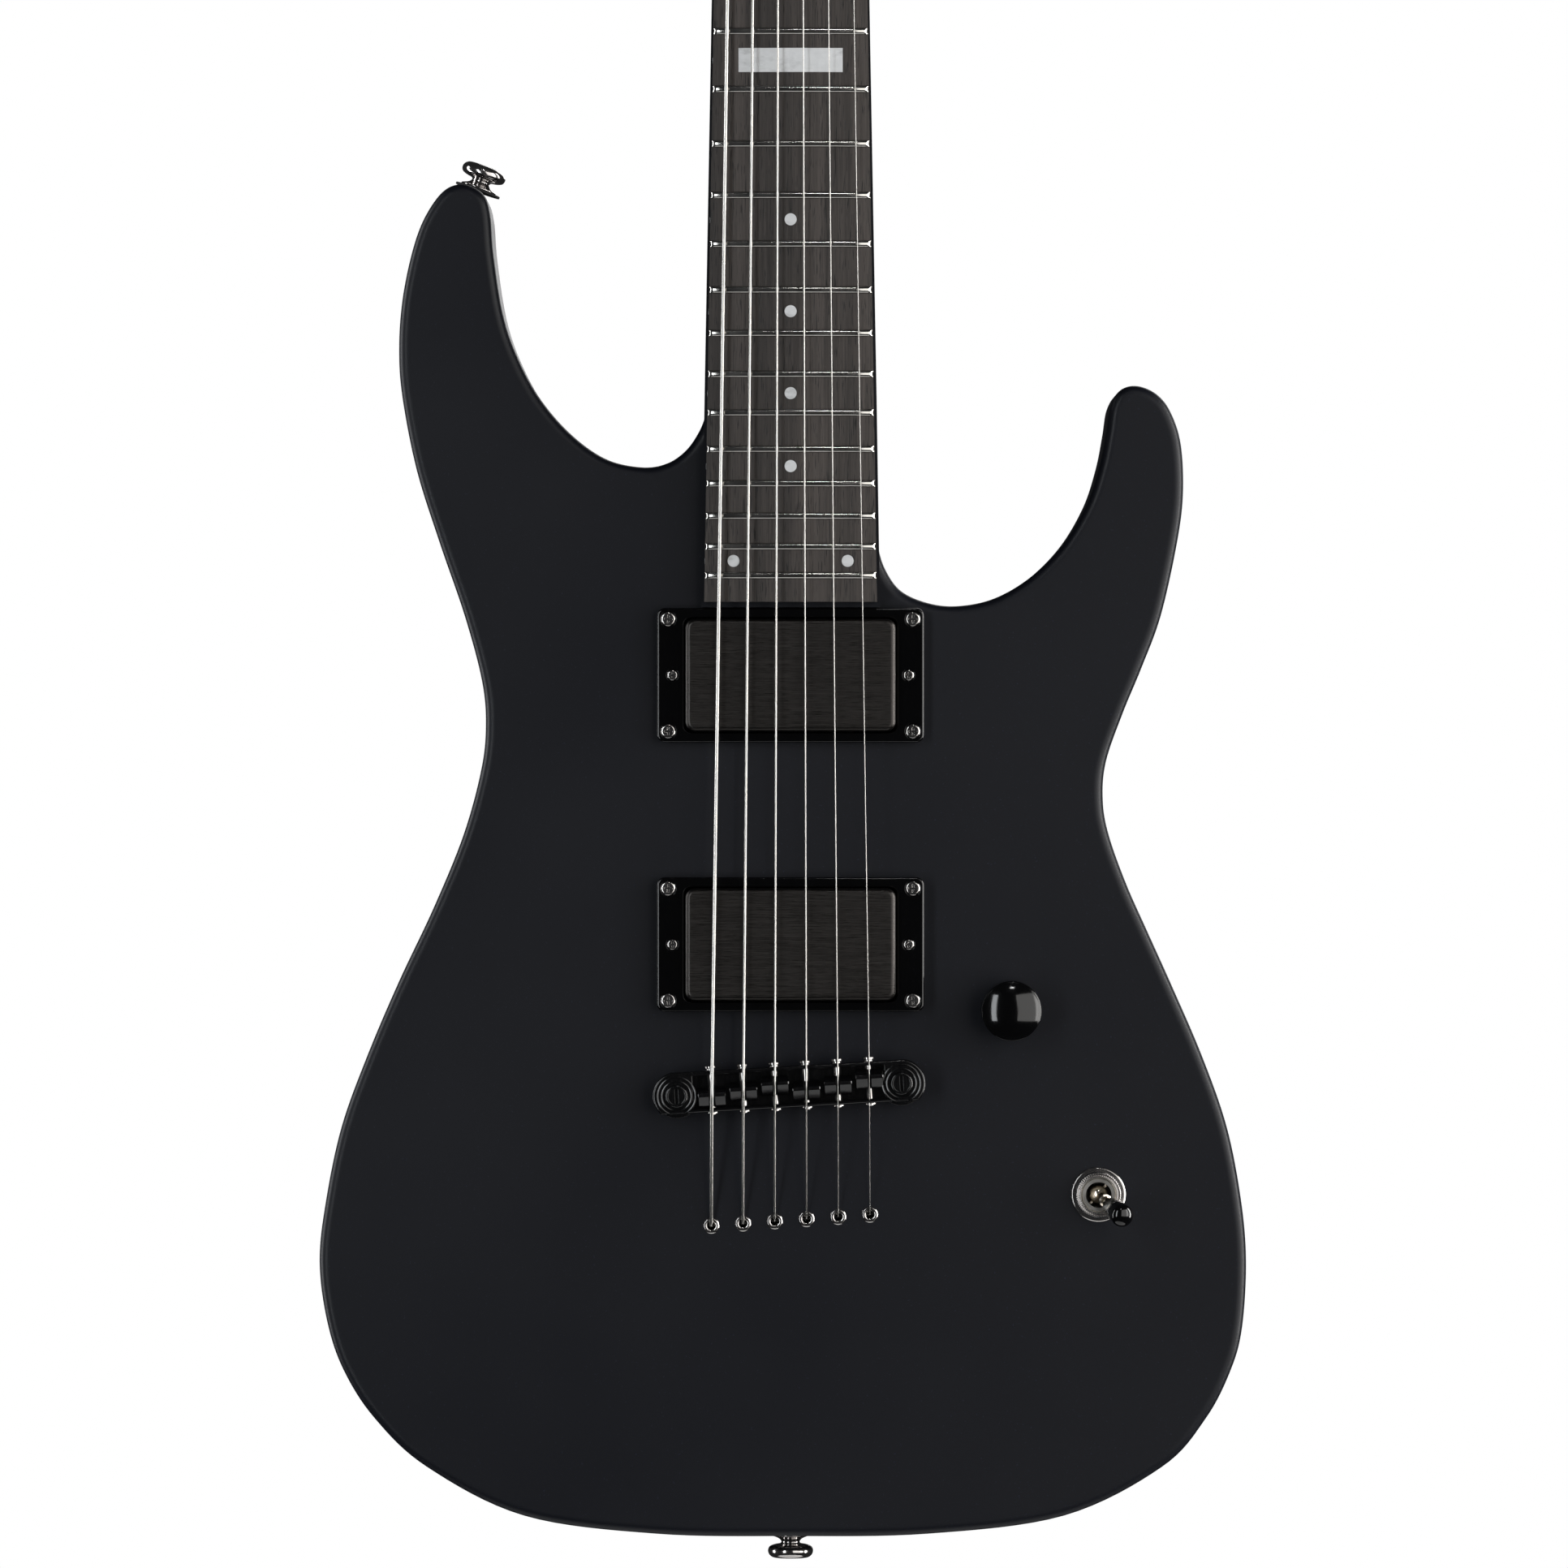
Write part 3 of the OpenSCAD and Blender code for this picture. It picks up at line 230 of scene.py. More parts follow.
def post_frame(i):
    """A tuner's own frame: its post stands on the origin and its button lies towards -x."""
    x, z = post_at(i)
    return HEAD @ move(x, 0, z) @ turn(Y, POST_TURN)


def apply(matrix, points):
    return np.asarray(points) @ matrix[:3, :3].T + matrix[:3, 3]


# ---- Shapes ----
class Shape(NamedTuple):
    points: np.ndarray
    quads: np.ndarray
    triangles: np.ndarray


NO_QUADS = np.zeros((0, 4), int)
NO_TRIANGLES = np.zeros((0, 3), int)


def join(*shapes):
    """One shape of several, with their faces renumbered."""
    starts = np.cumsum([0] + [len(s.points) for s in shapes[:-1]])
    return Shape(
        np.concatenate([s.points for s in shapes]),
        np.concatenate([s.quads + n for s, n in zip(shapes, starts)]),
        np.concatenate([s.triangles + n for s, n in zip(shapes, starts)]),
    )


def place(matrix, *shapes):
    whole = join(*shapes)
    return Shape(apply(matrix, whole.points), whole.quads, whole.triangles)


def surface(points, round_u=False, round_v=True):
    """Quads between the neighbours of a (rows, columns, 3) array, whose ends join where it is round."""
    rows, columns = points.shape[:2]
    u = np.arange(rows if round_u else rows - 1)[:, None]
    v = np.arange(columns if round_v else columns - 1)[None, :]
    near, far = u * columns, (u + 1) % rows * columns
    v_next = (v + 1) % columns
    quads = np.stack([near + v, near + v_next, far + v_next, far + v], axis=-1).reshape(-1, 4)
    return Shape(points.reshape(-1, 3), quads, NO_TRIANGLES)


def smooth(marks, steps, closed=False):
    """Curve through the marks: with neighbours a, b, c, d it is half of
    2b + (c - a)t + (2a - 5b + 4c - d)t^2 + (3b - 3c + d - a)t^3 between b and c."""
    p = np.array(marks, float)
    before = np.roll(p, 1, 0) if closed else np.vstack([p[:1], p[:-1]])
    after = np.roll(p, -1, 0) if closed else np.vstack([p[1:], p[-1:]])
    second = np.roll(p, -2, 0) if closed else np.vstack([p[2:], p[-1:], p[-1:]])
    t = (np.arange(steps) / steps)[None, :, None]
    a, b, c, d = (q[:, None, :] for q in (before, p, after, second))
    curve = b + (c - a) * t / 2 + (2 * a - 5 * b + 4 * c - d) * t**2 / 2 + (3 * (b - c) + d - a) * t**3 / 2
    if closed:
        return curve.reshape(-1, p.shape[1])
    return np.vstack([curve[:-1].reshape(-1, p.shape[1]), p[-1:]])


def ease(corners, cut, steps=3, closed=False):
    """Line whose corners are cut back by cut and rounded: (1-t)^2 a + 2t(1-t) corner + t^2 b."""
    p = np.array(corners, float)
    before, after = np.roll(p, 1, 0) - p, np.roll(p, -1, 0) - p
    lengths = [np.linalg.norm(side, axis=1)[:, None] for side in (before, after)]
    a, b = (p + side / n * np.minimum(cut, 0.45 * n) for side, n in zip((before, after), lengths))
    t = np.linspace(0, 1, steps + 1)[None, :, None]
    rounded = (1 - t) ** 2 * a[:, None] + 2 * t * (1 - t) * p[:, None] + t**2 * b[:, None]
    if closed:
        return rounded.reshape(-1, p.shape[1])
    return np.vstack([p[:1], rounded[1:-1].reshape(-1, p.shape[1]), p[-1:]])


def circle(r, x=0.0, z=0.0, sides=48, start=0.0):
    t = start + np.linspace(0, 2 * math.pi, sides, endpoint=False)
    return np.stack([x + r * np.cos(t), z + r * np.sin(t)], axis=-1)


def rectangle(length, width, r, x=0.0, z=0.0, steps=6):
    """Rectangle whose corners are quarter circles of radius r."""
    t = np.linspace(0, math.pi / 2, steps + 1)
    arcs = [
        np.stack([sx * (length / 2 - r) + r * np.cos(t + a), sz * (width / 2 - r) + r * np.sin(t + a)], axis=-1)
        for sx, sz, a in [(1, 1, 0), (-1, 1, math.pi / 2), (-1, -1, math.pi), (1, -1, 1.5 * math.pi)]
    ]
    return np.concatenate(arcs) + (x, z)


def cross(length, width, x=0.0, z=0.0):
    """Outline of the cross that a screwdriver fits."""
    a, b = length / 2, width / 2
    corners = [(a, -b), (a, b), (b, b), (b, a), (-b, a), (-b, b), (-a, b), (-a, -b), (-b, -b), (-b, -a),
               (b, -a), (b, -b)]
    return ease(corners, 0.12, 2, closed=True) + (x, z)


def offset(loop, inset):
    """Closed loop moved inwards by inset: each point goes along the sum of its two sides' unit normals
    n and m, times inset over 1 + n.m, which keeps every side at that distance."""
    side = np.roll(loop, -1, 0) - loop
    area = np.sum(loop[:, 0] * np.roll(loop[:, 1], -1) - np.roll(loop[:, 0], -1) * loop[:, 1])
    normal = np.stack([-side[:, 1], side[:, 0]], axis=-1) * np.sign(area)
    n = normal / np.maximum(np.linalg.norm(normal, axis=1), 1e-9)[:, None]
    m = np.roll(n, 1, 0)
    return loop + inset * (n + m) / np.maximum(1 + np.sum(n * m, axis=1), 0.4)[:, None]


def ring(loop, y):
    return np.stack([loop[:, 0], np.full(len(loop), y), loop[:, 1]], axis=-1)


def wall(loop, front, back, front_edge, back_edge, hole=False, steps=4, lip=0.15):
    """Wall that carries a closed loop from y = front to y = back, with its shape and both end loops.
    Each end is a quarter circle of radius e: at angle a the loop is inset by e(1 - sin a), or outset on
    a hole, and lies e(1 - cos a) from the end. A flat lip then joins the face beside it."""
    side = -1 if hole else 1
    a = np.linspace(0, math.pi / 2, steps + 1)
    rows = []
    for y, edge, inwards in ((front, front_edge, 1), (back, back_edge, -1)):
        insets = np.concatenate([[edge + lip], edge * (1 - np.sin(a))]) if edge else np.zeros(1)
        depths = np.concatenate([[0], edge * (1 - np.cos(a))]) if edge else np.zeros(1)
        rows.append([(offset(loop, side * i), y + inwards * d) for i, d in zip(insets, depths)])
    line = rows[0] + rows[1][::-1]
    shape = surface(np.stack([ring(outline, y) for outline, y in line]))
    return shape, line[0][0], line[-1][0]


def face(y, *loops):
    """Flat face at y inside the first loop and outside the others."""
    triangles = tessellate_polygon([[Vector((x, z, 0)) for x, z in loop] for loop in loops])
    return Shape(ring(np.concatenate(loops), y), NO_QUADS, np.array(triangles))


def slab(outline, front, back, edge=0.3, bores=(), back_edge=None, steps=4, lip=0.15):
    """Flat piece with rounded edges. Each bore is (loop, depth, edge), sunk from the front face, or right
    through where depth is None."""
    back_edge = edge if back_edge is None else back_edge
    shape, front_loop, back_loop = wall(outline, front, back, edge, back_edge, False, steps, lip)
    parts, fronts, backs = [shape], [front_loop], [back_loop]
    for loop, depth, bore_edge in bores:
        end = back if depth is None else front + depth
        sunk, near, far = wall(loop, front, end, bore_edge, 0, True, 3, 0.05)
        parts.append(sunk)
        fronts.append(near)
        if depth is None:
            backs.append(far)
        else:
            parts.append(face(end, far))
    return join(*parts, face(front, *fronts), face(back, *backs))


def lathe(profile, sides=64, closed=False, ripple=0.0, ripples=0):
    """Surface of revolution about z: (r cos t, r sin t, h) for each (r, h), with r times
    1 + ripple cos(ripples t) on a knurled piece."""
    r, h = np.array(profile, float).T[:, :, None]
    t = np.linspace(0, 2 * math.pi, sides, endpoint=False)[None, :]
    wave = 1 + ripple * np.cos(ripples * t)
    points = np.stack([r * wave * np.cos(t), r * wave * np.sin(t), h + 0 * t], axis=-1)
    return surface(points, round_u=closed)


def tube(path, r, across, sides=12, ends=True):
    """Round tube: rings of radius r about the path, turned from the direction across it. With t the
    path's direction, u = t x across and v = u x t, a ring is p + r (u cos a + v sin a)."""
    p = np.array(path, float)
    ahead = np.vstack([p[1:], p[-1:]]) - np.vstack([p[:1], p[:-1]])
    t = ahead / np.linalg.norm(ahead, axis=1)[:, None]
    u = np.cross(t, across)
    u /= np.linalg.norm(u, axis=1)[:, None]
    v = np.cross(u, t)
    a = np.linspace(0, 2 * math.pi, sides, endpoint=False)
    radii = np.broadcast_to(np.asarray(r, float), len(p))[:, None, None]
    rings = p[:, None] + radii * (np.cos(a)[None, :, None] * u[:, None] + np.sin(a)[None, :, None] * v[:, None])
    if ends:
        poles = np.repeat(p[[0, -1]][:, None], sides, axis=1)
        rings = np.concatenate([poles[:1], rings, poles[1:]])
    return surface(rings)


def screw_head(r, height, edge, cross_length, cross_width=0.55, depth=0.9):
    """Screw's head whose underside is y = 0 and whose driver recess faces the front."""
    return slab(circle(r, sides=40), -height, 0, edge, [(cross(cross_length, cross_width), depth, 0.06)], 0.05)


def shank(r, length):
    """Screw's shank, from y = 0 to the back, with a pointed end."""
    return place(FACING_BACK, lathe([(0, -0.3), (r, -0.3), (r, length - 2 * r), (0, length)], 20))


# ---- Pieces ----
def add_piece(name, body, finish, shape, stands_for=(), sharp=32):
    """Makes a mesh object of the shape, welds and turns its faces outwards, and sets it on its body."""
    mesh = bpy.data.meshes.new(name)
    mesh.from_pydata(shape.points * MM, [], shape.quads.tolist() + shape.triangles.tolist())
    work = bmesh.new()
    work.from_mesh(mesh)
    bmesh.ops.remove_doubles(work, verts=work.verts, dist=0.002 * MM)
    bmesh.ops.dissolve_degenerate(work, edges=work.edges, dist=0.0005 * MM)
    bmesh.ops.recalc_face_normals(work, faces=work.faces)
    work.to_mesh(mesh)
    work.free()
    mesh.polygons.foreach_set("use_smooth", np.ones(len(mesh.polygons), bool))
    mesh.set_sharp_from_angle(angle=math.radians(sharp))
    mesh.materials.append(finish_of(finish))
    piece = bpy.data.objects.new(name, mesh)
    bpy.context.scene.collection.objects.link(piece)
    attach(piece, body)
    if stands_for:
        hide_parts(*stands_for)
    return piece


def dress(finish, *nodes):
    """Gives kept CAD nodes their finish."""
    for node in nodes:
        for material_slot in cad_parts[node].material_slots:
            material_slot.material = finish_of(finish)


# ---- Finishes ----
class Finish:
    """A material with one surface shader, and short ways to vary it over the surface."""

    def __init__(self, name, colour, roughness, metallic=0.0, **sockets):
        self.material = bpy.data.materials.new("finish_" + name)
        self.material.use_nodes = True
        self.nodes = self.material.node_tree.nodes
        self.shader = self.nodes["Principled BSDF"]
        sockets = {"Base Color": (*colour, 1), "Roughness": roughness, "Metallic": metallic, **sockets}
        for socket, value in sockets.items():
            self.shader.inputs[socket].default_value = value

    def add(self, kind, settings=None, **inputs):
        node = self.nodes.new(kind)
        for key, value in (settings or {}).items():
            setattr(node, key, value)
        for key, value in inputs.items():
            target = node.inputs[key.replace("_", " ")]
            if isinstance(value, bpy.types.NodeSocket):
                self.material.node_tree.links.new(value, target)
            else:
                target.default_value = value
        return node

    def noise(self, scale, detail=3.0, roughness=0.5, turned=(0, 0, 0)):
        """Noise whose cells are 1/scale metres long in x, y and z of the object's own space."""
        place_of = self.add("ShaderNodeTexCoord").outputs["Object"]
        mapping = self.add("ShaderNodeMapping", Vector=place_of, Scale=scale, Rotation=turned)
        return self.add("ShaderNodeTexNoise", Vector=mapping.outputs[0], Scale=1.0, Detail=detail,
                        Roughness=roughness).outputs["Fac"]

    def span(self, source, low, high, start=0.3, end=0.7):
        """The source's start to end stretched to low to high."""
        node = self.add("ShaderNodeMapRange", None, Value=source, From_Min=start, From_Max=end, To_Min=low,
                        To_Max=high)
        return node.outputs[0]

    def set(self, socket, source):
        self.material.node_tree.links.new(source, self.shader.inputs[socket])

    def colours(self, source, *stops):
        """Base colour along the source: each stop is (place, colour)."""
        ramp = self.add("ShaderNodeValToRGB", Fac=source)
        for _ in stops[2:]:
            ramp.color_ramp.elements.new(0.5)
        for element, (at, colour) in zip(ramp.color_ramp.elements, stops):
            element.position = at
            element.color = (*colour, 1)
        self.set("Base Color", ramp.outputs[0])

    def bump(self, source, distance_mm, strength=1.0):
        node = self.add("ShaderNodeBump", None, Height=source, Strength=strength, Distance=distance_mm * MM)
        self.set("Normal", node.outputs[0])


def shade(colour, factor):
    return tuple(c * factor for c in colour)


def lacquer_finish(name, colour, roughness):
    """Satin black lacquer: a faint orange-peel surface, cloudy gloss and a few light specks."""
    finish = Finish(name, colour, roughness, **{"Specular IOR Level": 0.24})
    fine = finish.noise((900, 900, 900), 2.0)
    cloud = finish.noise((9, 9, 9), 2.0)
    speck = finish.noise((1500, 1500, 1500), 1.0)
    finish.set("Roughness", finish.span(cloud, roughness - 0.04, roughness + 0.05))
    finish.colours(speck, (0.0, colour), (0.70, shade(colour, 1.1)), (0.78, shade(colour, 4.0)))
    finish.bump(fine, 0.012)
    return finish.material


def ebony_finish(name, colour, _roughness):
    """Dark fretboard wood: long brown streaks, fine fibres and short open pores along the neck."""
    finish = Finish(name, colour, 0.5, **{"Specular IOR Level": 0.35})
    streak = finish.noise((170, 170, 5), 4.0, 0.6)
    fibre = finish.noise((1900, 1900, 38), 3.0, 0.6)
    pore = finish.noise((2600, 2600, 150), 1.0)
    mixed = finish.add("ShaderNodeMath", {"operation": "MULTIPLY_ADD"})
    finish.material.node_tree.links.new(fibre, mixed.inputs[0])
    mixed.inputs[1].default_value = 0.55
    finish.material.node_tree.links.new(finish.span(streak, 0.0, 0.45, 0.2, 0.8), mixed.inputs[2])
    open_pore = finish.span(pore, 0.0, 1.0, 0.6, 0.66)
    dark = finish.add("ShaderNodeMath", {"operation": "SUBTRACT"})
    finish.material.node_tree.links.new(mixed.outputs[0], dark.inputs[0])
    finish.material.node_tree.links.new(finish.span(open_pore, 0.0, 0.35, 0.0, 1.0), dark.inputs[1])
    finish.colours(dark.outputs[0], (0.1, shade(colour, 0.18)), (0.42, shade(colour, 0.8)),
                   (0.75, shade(colour, 1.9)))
    finish.set("Roughness", finish.span(fibre, 0.42, 0.6))
    finish.bump(dark.outputs[0], 0.05)
    return finish.material


def metal_finish(name, colour, roughness):
    """Plated or polished metal with faint handling marks."""
    finish = Finish(name, colour, roughness, 1.0)
    haze = finish.noise((120, 120, 120), 3.0)
    finish.set("Roughness", finish.span(haze, roughness * 0.8, roughness * 1.25))
    finish.colours(haze, (0.3, shade(colour, 0.9)), (0.7, shade(colour, 1.05)))
    finish.bump(finish.noise((1400, 1400, 1400), 2.0), 0.002)
    return finish.material


def string_finish(name, colour, roughness):
    """Bright string wire with the fine rings of its winding and drawing marks; its colour darkens between the
    turns as painted shade in the winding's grooves.
    """
    finish = Finish(name, colour, roughness, 1.0)
    place_of = finish.add("ShaderNodeTexCoord").outputs["Object"]
    rings = finish.add("ShaderNodeTexWave", {"wave_type": "BANDS", "bands_direction": "Z"}, Vector=place_of,
                       Scale=1100.0, Distortion=0.3).outputs["Fac"]
    finish.set("Roughness", finish.span(rings, roughness * 0.8, roughness * 1.5, 0.0, 1.0))
    # painted shade: the wire's colour falls to 0.75 of itself in the grooves between the winding's turns
    finish.colours(rings, (0.0, shade(colour, 0.75)), (0.5, colour))
    finish.bump(rings, 0.006)
    return finish.material


def brushed_finish(name, colour, roughness):
    """Dark chrome brushed across the strings: scratches long in x and fine in z."""
    finish = Finish(name, colour, roughness, 1.0)
    long_grain = finish.noise((60, 900, 9000), 3.0, 0.7)
    short_grain = finish.noise((260, 900, 9000), 2.0, 0.6)
    both = finish.add("ShaderNodeMath", {"operation": "ADD"})
    finish.material.node_tree.links.new(finish.span(long_grain, 0.0, 0.6), both.inputs[0])
    finish.material.node_tree.links.new(finish.span(short_grain, 0.0, 0.4), both.inputs[1])
    finish.colours(both.outputs[0], (0.1, shade(colour, 0.72)), (0.55, colour), (0.95, shade(colour, 1.35)))
    finish.set("Roughness", finish.span(both.outputs[0], roughness - 0.1, roughness + 0.1, 0.2, 0.9))
    finish.bump(both.outputs[0], 0.012)
    return finish.material


def plastic_finish(name, colour, roughness):
    """Moulded plastic: faint flow marks and fine wear in the gloss."""
    finish = Finish(name, colour, roughness)
    flow = finish.noise((60, 60, 60), 4.0)
    scuff = finish.noise((2400, 2400, 300), 2.0, turned=(0.4, 0.3, 0.2))
    finish.set("Roughness", finish.span(scuff, roughness * 0.8, roughness * 1.4))
    finish.colours(flow, (0.3, shade(colour, 0.8)), (0.7, shade(colour, 1.2)))
    finish.bump(scuff, 0.0015)
    return finish.material


def pearl_finish(name, colour, roughness):
    """Off-white marker with the soft clouds of pearl."""
    finish = Finish(name, colour, roughness)
    cloud = finish.noise((140, 140, 260), 3.0, 0.6)
    finish.colours(cloud, (0.35, shade(colour, 0.82)), (0.5, colour), (0.65, shade(colour, 0.93)))
    finish.set("Roughness", finish.span(cloud, roughness, roughness * 1.6))
    return finish.material


def felt_finish(name, colour, roughness):
    """Pressed felt: a tangle of short fibres."""
    finish = Finish(name, colour, roughness)
    fibre = finish.noise((3000, 3000, 3000), 4.0, 0.8)
    finish.colours(fibre, (0.3, shade(colour, 0.5)), (0.7, shade(colour, 1.8)))
    finish.bump(fibre, 0.08)
    return finish.material


class GuitarFinishes(bpy.types.PropertyGroup):
    """Colours of the guitar's finishes"""

    body: bpy.props.FloatVectorProperty(
        name="Body", description="Lacquer of the body, neck and headstock", subtype="COLOR",
        default=(0.0024, 0.0030, 0.0056), min=0, max=1)
    fretboard: bpy.props.FloatVectorProperty(
        name="Fretboard", description="Middle tone of the fretboard's wood", subtype="COLOR",
        default=(0.037, 0.031, 0.028), min=0, max=1)
    plastic: bpy.props.FloatVectorProperty(
        name="Plastic", description="Rings, knob, switch tip and covers", subtype="COLOR",
        default=(0.0009, 0.0009, 0.0011), min=0, max=1)
    plating: bpy.props.FloatVectorProperty(
        name="Plating", description="Black nickel of the tuners, screws and strap buttons", subtype="COLOR",
        default=(0.48, 0.46, 0.45), min=0, max=1)
    bridge: bpy.props.FloatVectorProperty(
        name="Bridge", description="Black plate of the bridge", subtype="COLOR",
        default=(0.002, 0.002, 0.0023), min=0, max=1)
    cover: bpy.props.FloatVectorProperty(
        name="Pickup covers", description="Brushed dark chrome of the pickup covers", subtype="COLOR",
        default=(0.044, 0.041, 0.039), min=0, max=1)
    bright: bpy.props.FloatVectorProperty(
        name="Bright metal", description="Frets, strings and nickel", subtype="COLOR",
        default=(0.52, 0.505, 0.48), min=0, max=1)
    markers: bpy.props.FloatVectorProperty(
        name="Markers", description="Position markers on the fretboard", subtype="COLOR",
        default=(0.64, 0.65, 0.66), min=0, max=1)


class GuitarSizes(bpy.types.PropertyGroup):
    """Small shapes that the CAD frame leaves plain"""

    body_edge: bpy.props.FloatProperty(
        name="Body edge", description="Radius of the body's rounded edges", default=0.003, min=0.001,
        max=0.009, unit="LENGTH", subtype="DISTANCE")
    head_edge: bpy.props.FloatProperty(
        name="Headstock edge", description="Radius of the headstock's rounded edges", default=0.0016,
        min=0.0005, max=0.004, unit="LENGTH", subtype="DISTANCE")
    cover_edge: bpy.props.FloatProperty(
        name="Cover edge", description="Radius of the pickup covers' bent edges", default=0.0016,
        min=0.0005, max=0.003, unit="LENGTH", subtype="DISTANCE")
    hardware_edge: bpy.props.FloatProperty(
        name="Hardware edge", description="Radius of the bridge's and the tuners' edges", default=0.0007,
        min=0.0002, max=0.0015, unit="LENGTH", subtype="DISTANCE")


class GuitarStage(bpy.types.PropertyGroup):
    """Floor, camera and lights"""

    camera_distance: bpy.props.FloatProperty(
        name="Camera distance", description="From the camera to the fretboard", default=3, min=1, max=6,
        unit="LENGTH", subtype="DISTANCE")
    view_width: bpy.props.FloatProperty(
        name="View width", description="Width of the picture at the fretboard", default=0.5232, min=0.2,
        max=2, unit="LENGTH", subtype="DISTANCE")
    view_x: bpy.props.FloatProperty(
        name="View across", description="Middle of the picture across the guitar", default=-0.0022,
        min=-0.5, max=0.5, unit="LENGTH", subtype="DISTANCE")
    view_z: bpy.props.FloatProperty(
        name="View height", description="Middle of the picture up the guitar", default=0.2515,
        min=-0.5, max=1.5, unit="LENGTH", subtype="DISTANCE")
    floor_z: bpy.props.FloatProperty(
        name="Floor height", description="Height of the floor", default=-0.75, min=-2, max=-0.02,
        unit="LENGTH", subtype="DISTANCE")
    fill: bpy.props.FloatProperty(
        name="Fill light", description="Strength of the light from all round", default=0.03, min=0, max=2)


def sizes():
    return bpy.context.scene.guitar_sizes


def finish_of(name):
    """The material of one of the record's slots, made once."""
    made = bpy.data.materials.get("finish_" + name)
    if made:
        return made
    look = bpy.context.scene.guitar_finishes
    bright = tuple(look.bright)
    makers = {
        "body_lacquer": (lacquer_finish, tuple(look.body), 0.42),
        "neck_lacquer": (lacquer_finish, tuple(look.body), 0.38),
        "ebony": (ebony_finish, tuple(look.fretboard), 0.5),
        "fret_wire": (metal_finish, bright, 0.16),
        "nut_black": (plastic_finish, shade(look.plastic, 2), 0.35),
        "marker_white": (pearl_finish, tuple(look.markers), 0.25),
        "steel": (metal_finish, shade(bright, 0.65), 0.35),
        "brass": (metal_finish, (0.65, 0.45, 0.18), 0.3),
        "black_plastic": (plastic_finish, tuple(look.plastic), 0.09),
        "black_nickel": (metal_finish, tuple(look.plating), 0.14),
        "string_steel": (string_finish, bright, 0.22),
        "black_metal": (plastic_finish, tuple(look.bridge), 0.16),
        "brushed_cover": (brushed_finish, tuple(look.cover), 0.34),
        "nickel": (metal_finish, (0.86, 0.78, 0.66), 0.18),
        "battery_case": (plastic_finish, (0.02, 0.02, 0.025), 0.4),
        "lead_rubber": (plastic_finish, (0.012, 0.012, 0.012), 0.5),
        "felt": (felt_finish, (0.01, 0.01, 0.011), 0.95),
    }
    maker, colour, roughness = makers[name]
    return maker(name, colour, roughness)


# ---- Wood ----
def cavity_outline(extra):
    """Tight outline round the three circles of the control cavity, each extra larger: the furthest point
    of the circles in every direction, c + r n."""
    marks = np.array(CAVITY_MARKS, float)
    t = np.linspace(0, 2 * math.pi, 144, endpoint=False)
    n = np.stack([np.cos(t), np.sin(t)], axis=-1)
    reach = n @ marks[:, :2].T + marks[:, 2] + extra
    best = np.argmax(reach, axis=1)
    return marks[best, :2] + n * (marks[best, 2] + extra)[:, None]


def pickup_cavity_outline(z):
    """Cavity of a pickup: a rectangle with an ear at each end for the height screws."""
    l, w, ear, ear_w = COVER[0] / 2 + 1.5, COVER[1] / 2 + 1.3, 44, 8
    corners = [(ear, -ear_w), (ear, ear_w), (l, ear_w), (l, w), (-l, w), (-l, ear_w), (-ear, ear_w),
               (-ear, -ear_w), (-l, -ear_w), (-l, -w), (l, -w), (l, -ear_w)]
    return ease(corners, 2, 3, closed=True) + (0, z)


def body_shape(edge):
    """Slab of the body's outline with rounded edges, open at its cavities and holes."""
    outline = smooth(OUTLINE_MARKS, 8)
    shell, front, back = wall(outline, TOP_Y, BACK_Y, edge, edge, steps=8, lip=0.6)
    posts = [apply(BRIDGE, (x, 0, 0))[[0, 2]] for x in (-POST_GAP / 2, POST_GAP / 2)]
    ferrules = [ferrule_at(i) for i in STRINGS]
    parts, fronts, backs = [shell], [front], [back]
    for z in PICKUP_Z:
        loop, floor = pickup_cavity_outline(z), TOP_Y + 20.5
        parts += [wall(loop, TOP_Y, floor, 0, 0)[0], face(floor, loop)]
        fronts.append(loop)
    for x, z in posts:
        loop, floor = circle(5.6, x, z), TOP_Y + 20.5
        parts += [wall(loop, TOP_Y, floor, 0, 0)[0], face(floor, loop)]
        fronts.append(loop)
    for x, z in ferrules:
        front_loop, back_loop = circle(2.25, x, z, 32), circle(3.6, x, z, 32)
        step = BACK_Y - 10
        parts += [wall(front_loop, TOP_Y, step, 0, 0)[0], wall(back_loop, step, BACK_Y, 0, 0)[0],
                  face(step, back_loop, front_loop)]
        fronts.append(front_loop)
        backs.append(back_loop)
    recess, cavity, ledge = cavity_outline(RECESS_RIM), cavity_outline(0), BACK_Y - RECESS_DEPTH
    control_holes = [circle(4.85, *KNOB), circle(6.1, *SWITCH)]
    parts += [wall(recess, ledge, BACK_Y, 0, 0)[0], face(ledge, recess, cavity),
              wall(cavity, CAVITY_FLOOR, ledge, 0, 0)[0], face(CAVITY_FLOOR, cavity, *control_holes)]
    backs.append(recess)
    for loop in control_holes:
        parts.append(wall(loop, TOP_Y, CAVITY_FLOOR, 0, 0)[0])
        fronts.append(loop)
    return join(*parts, face(TOP_Y, *fronts), face(BACK_Y, *backs))


def ramp(z, start, end):
    """Smooth step from 0 at start to 1 at end."""
    t = np.clip((z - start) / (end - start), 0, 1)
    return t * t * (3 - 2 * t)


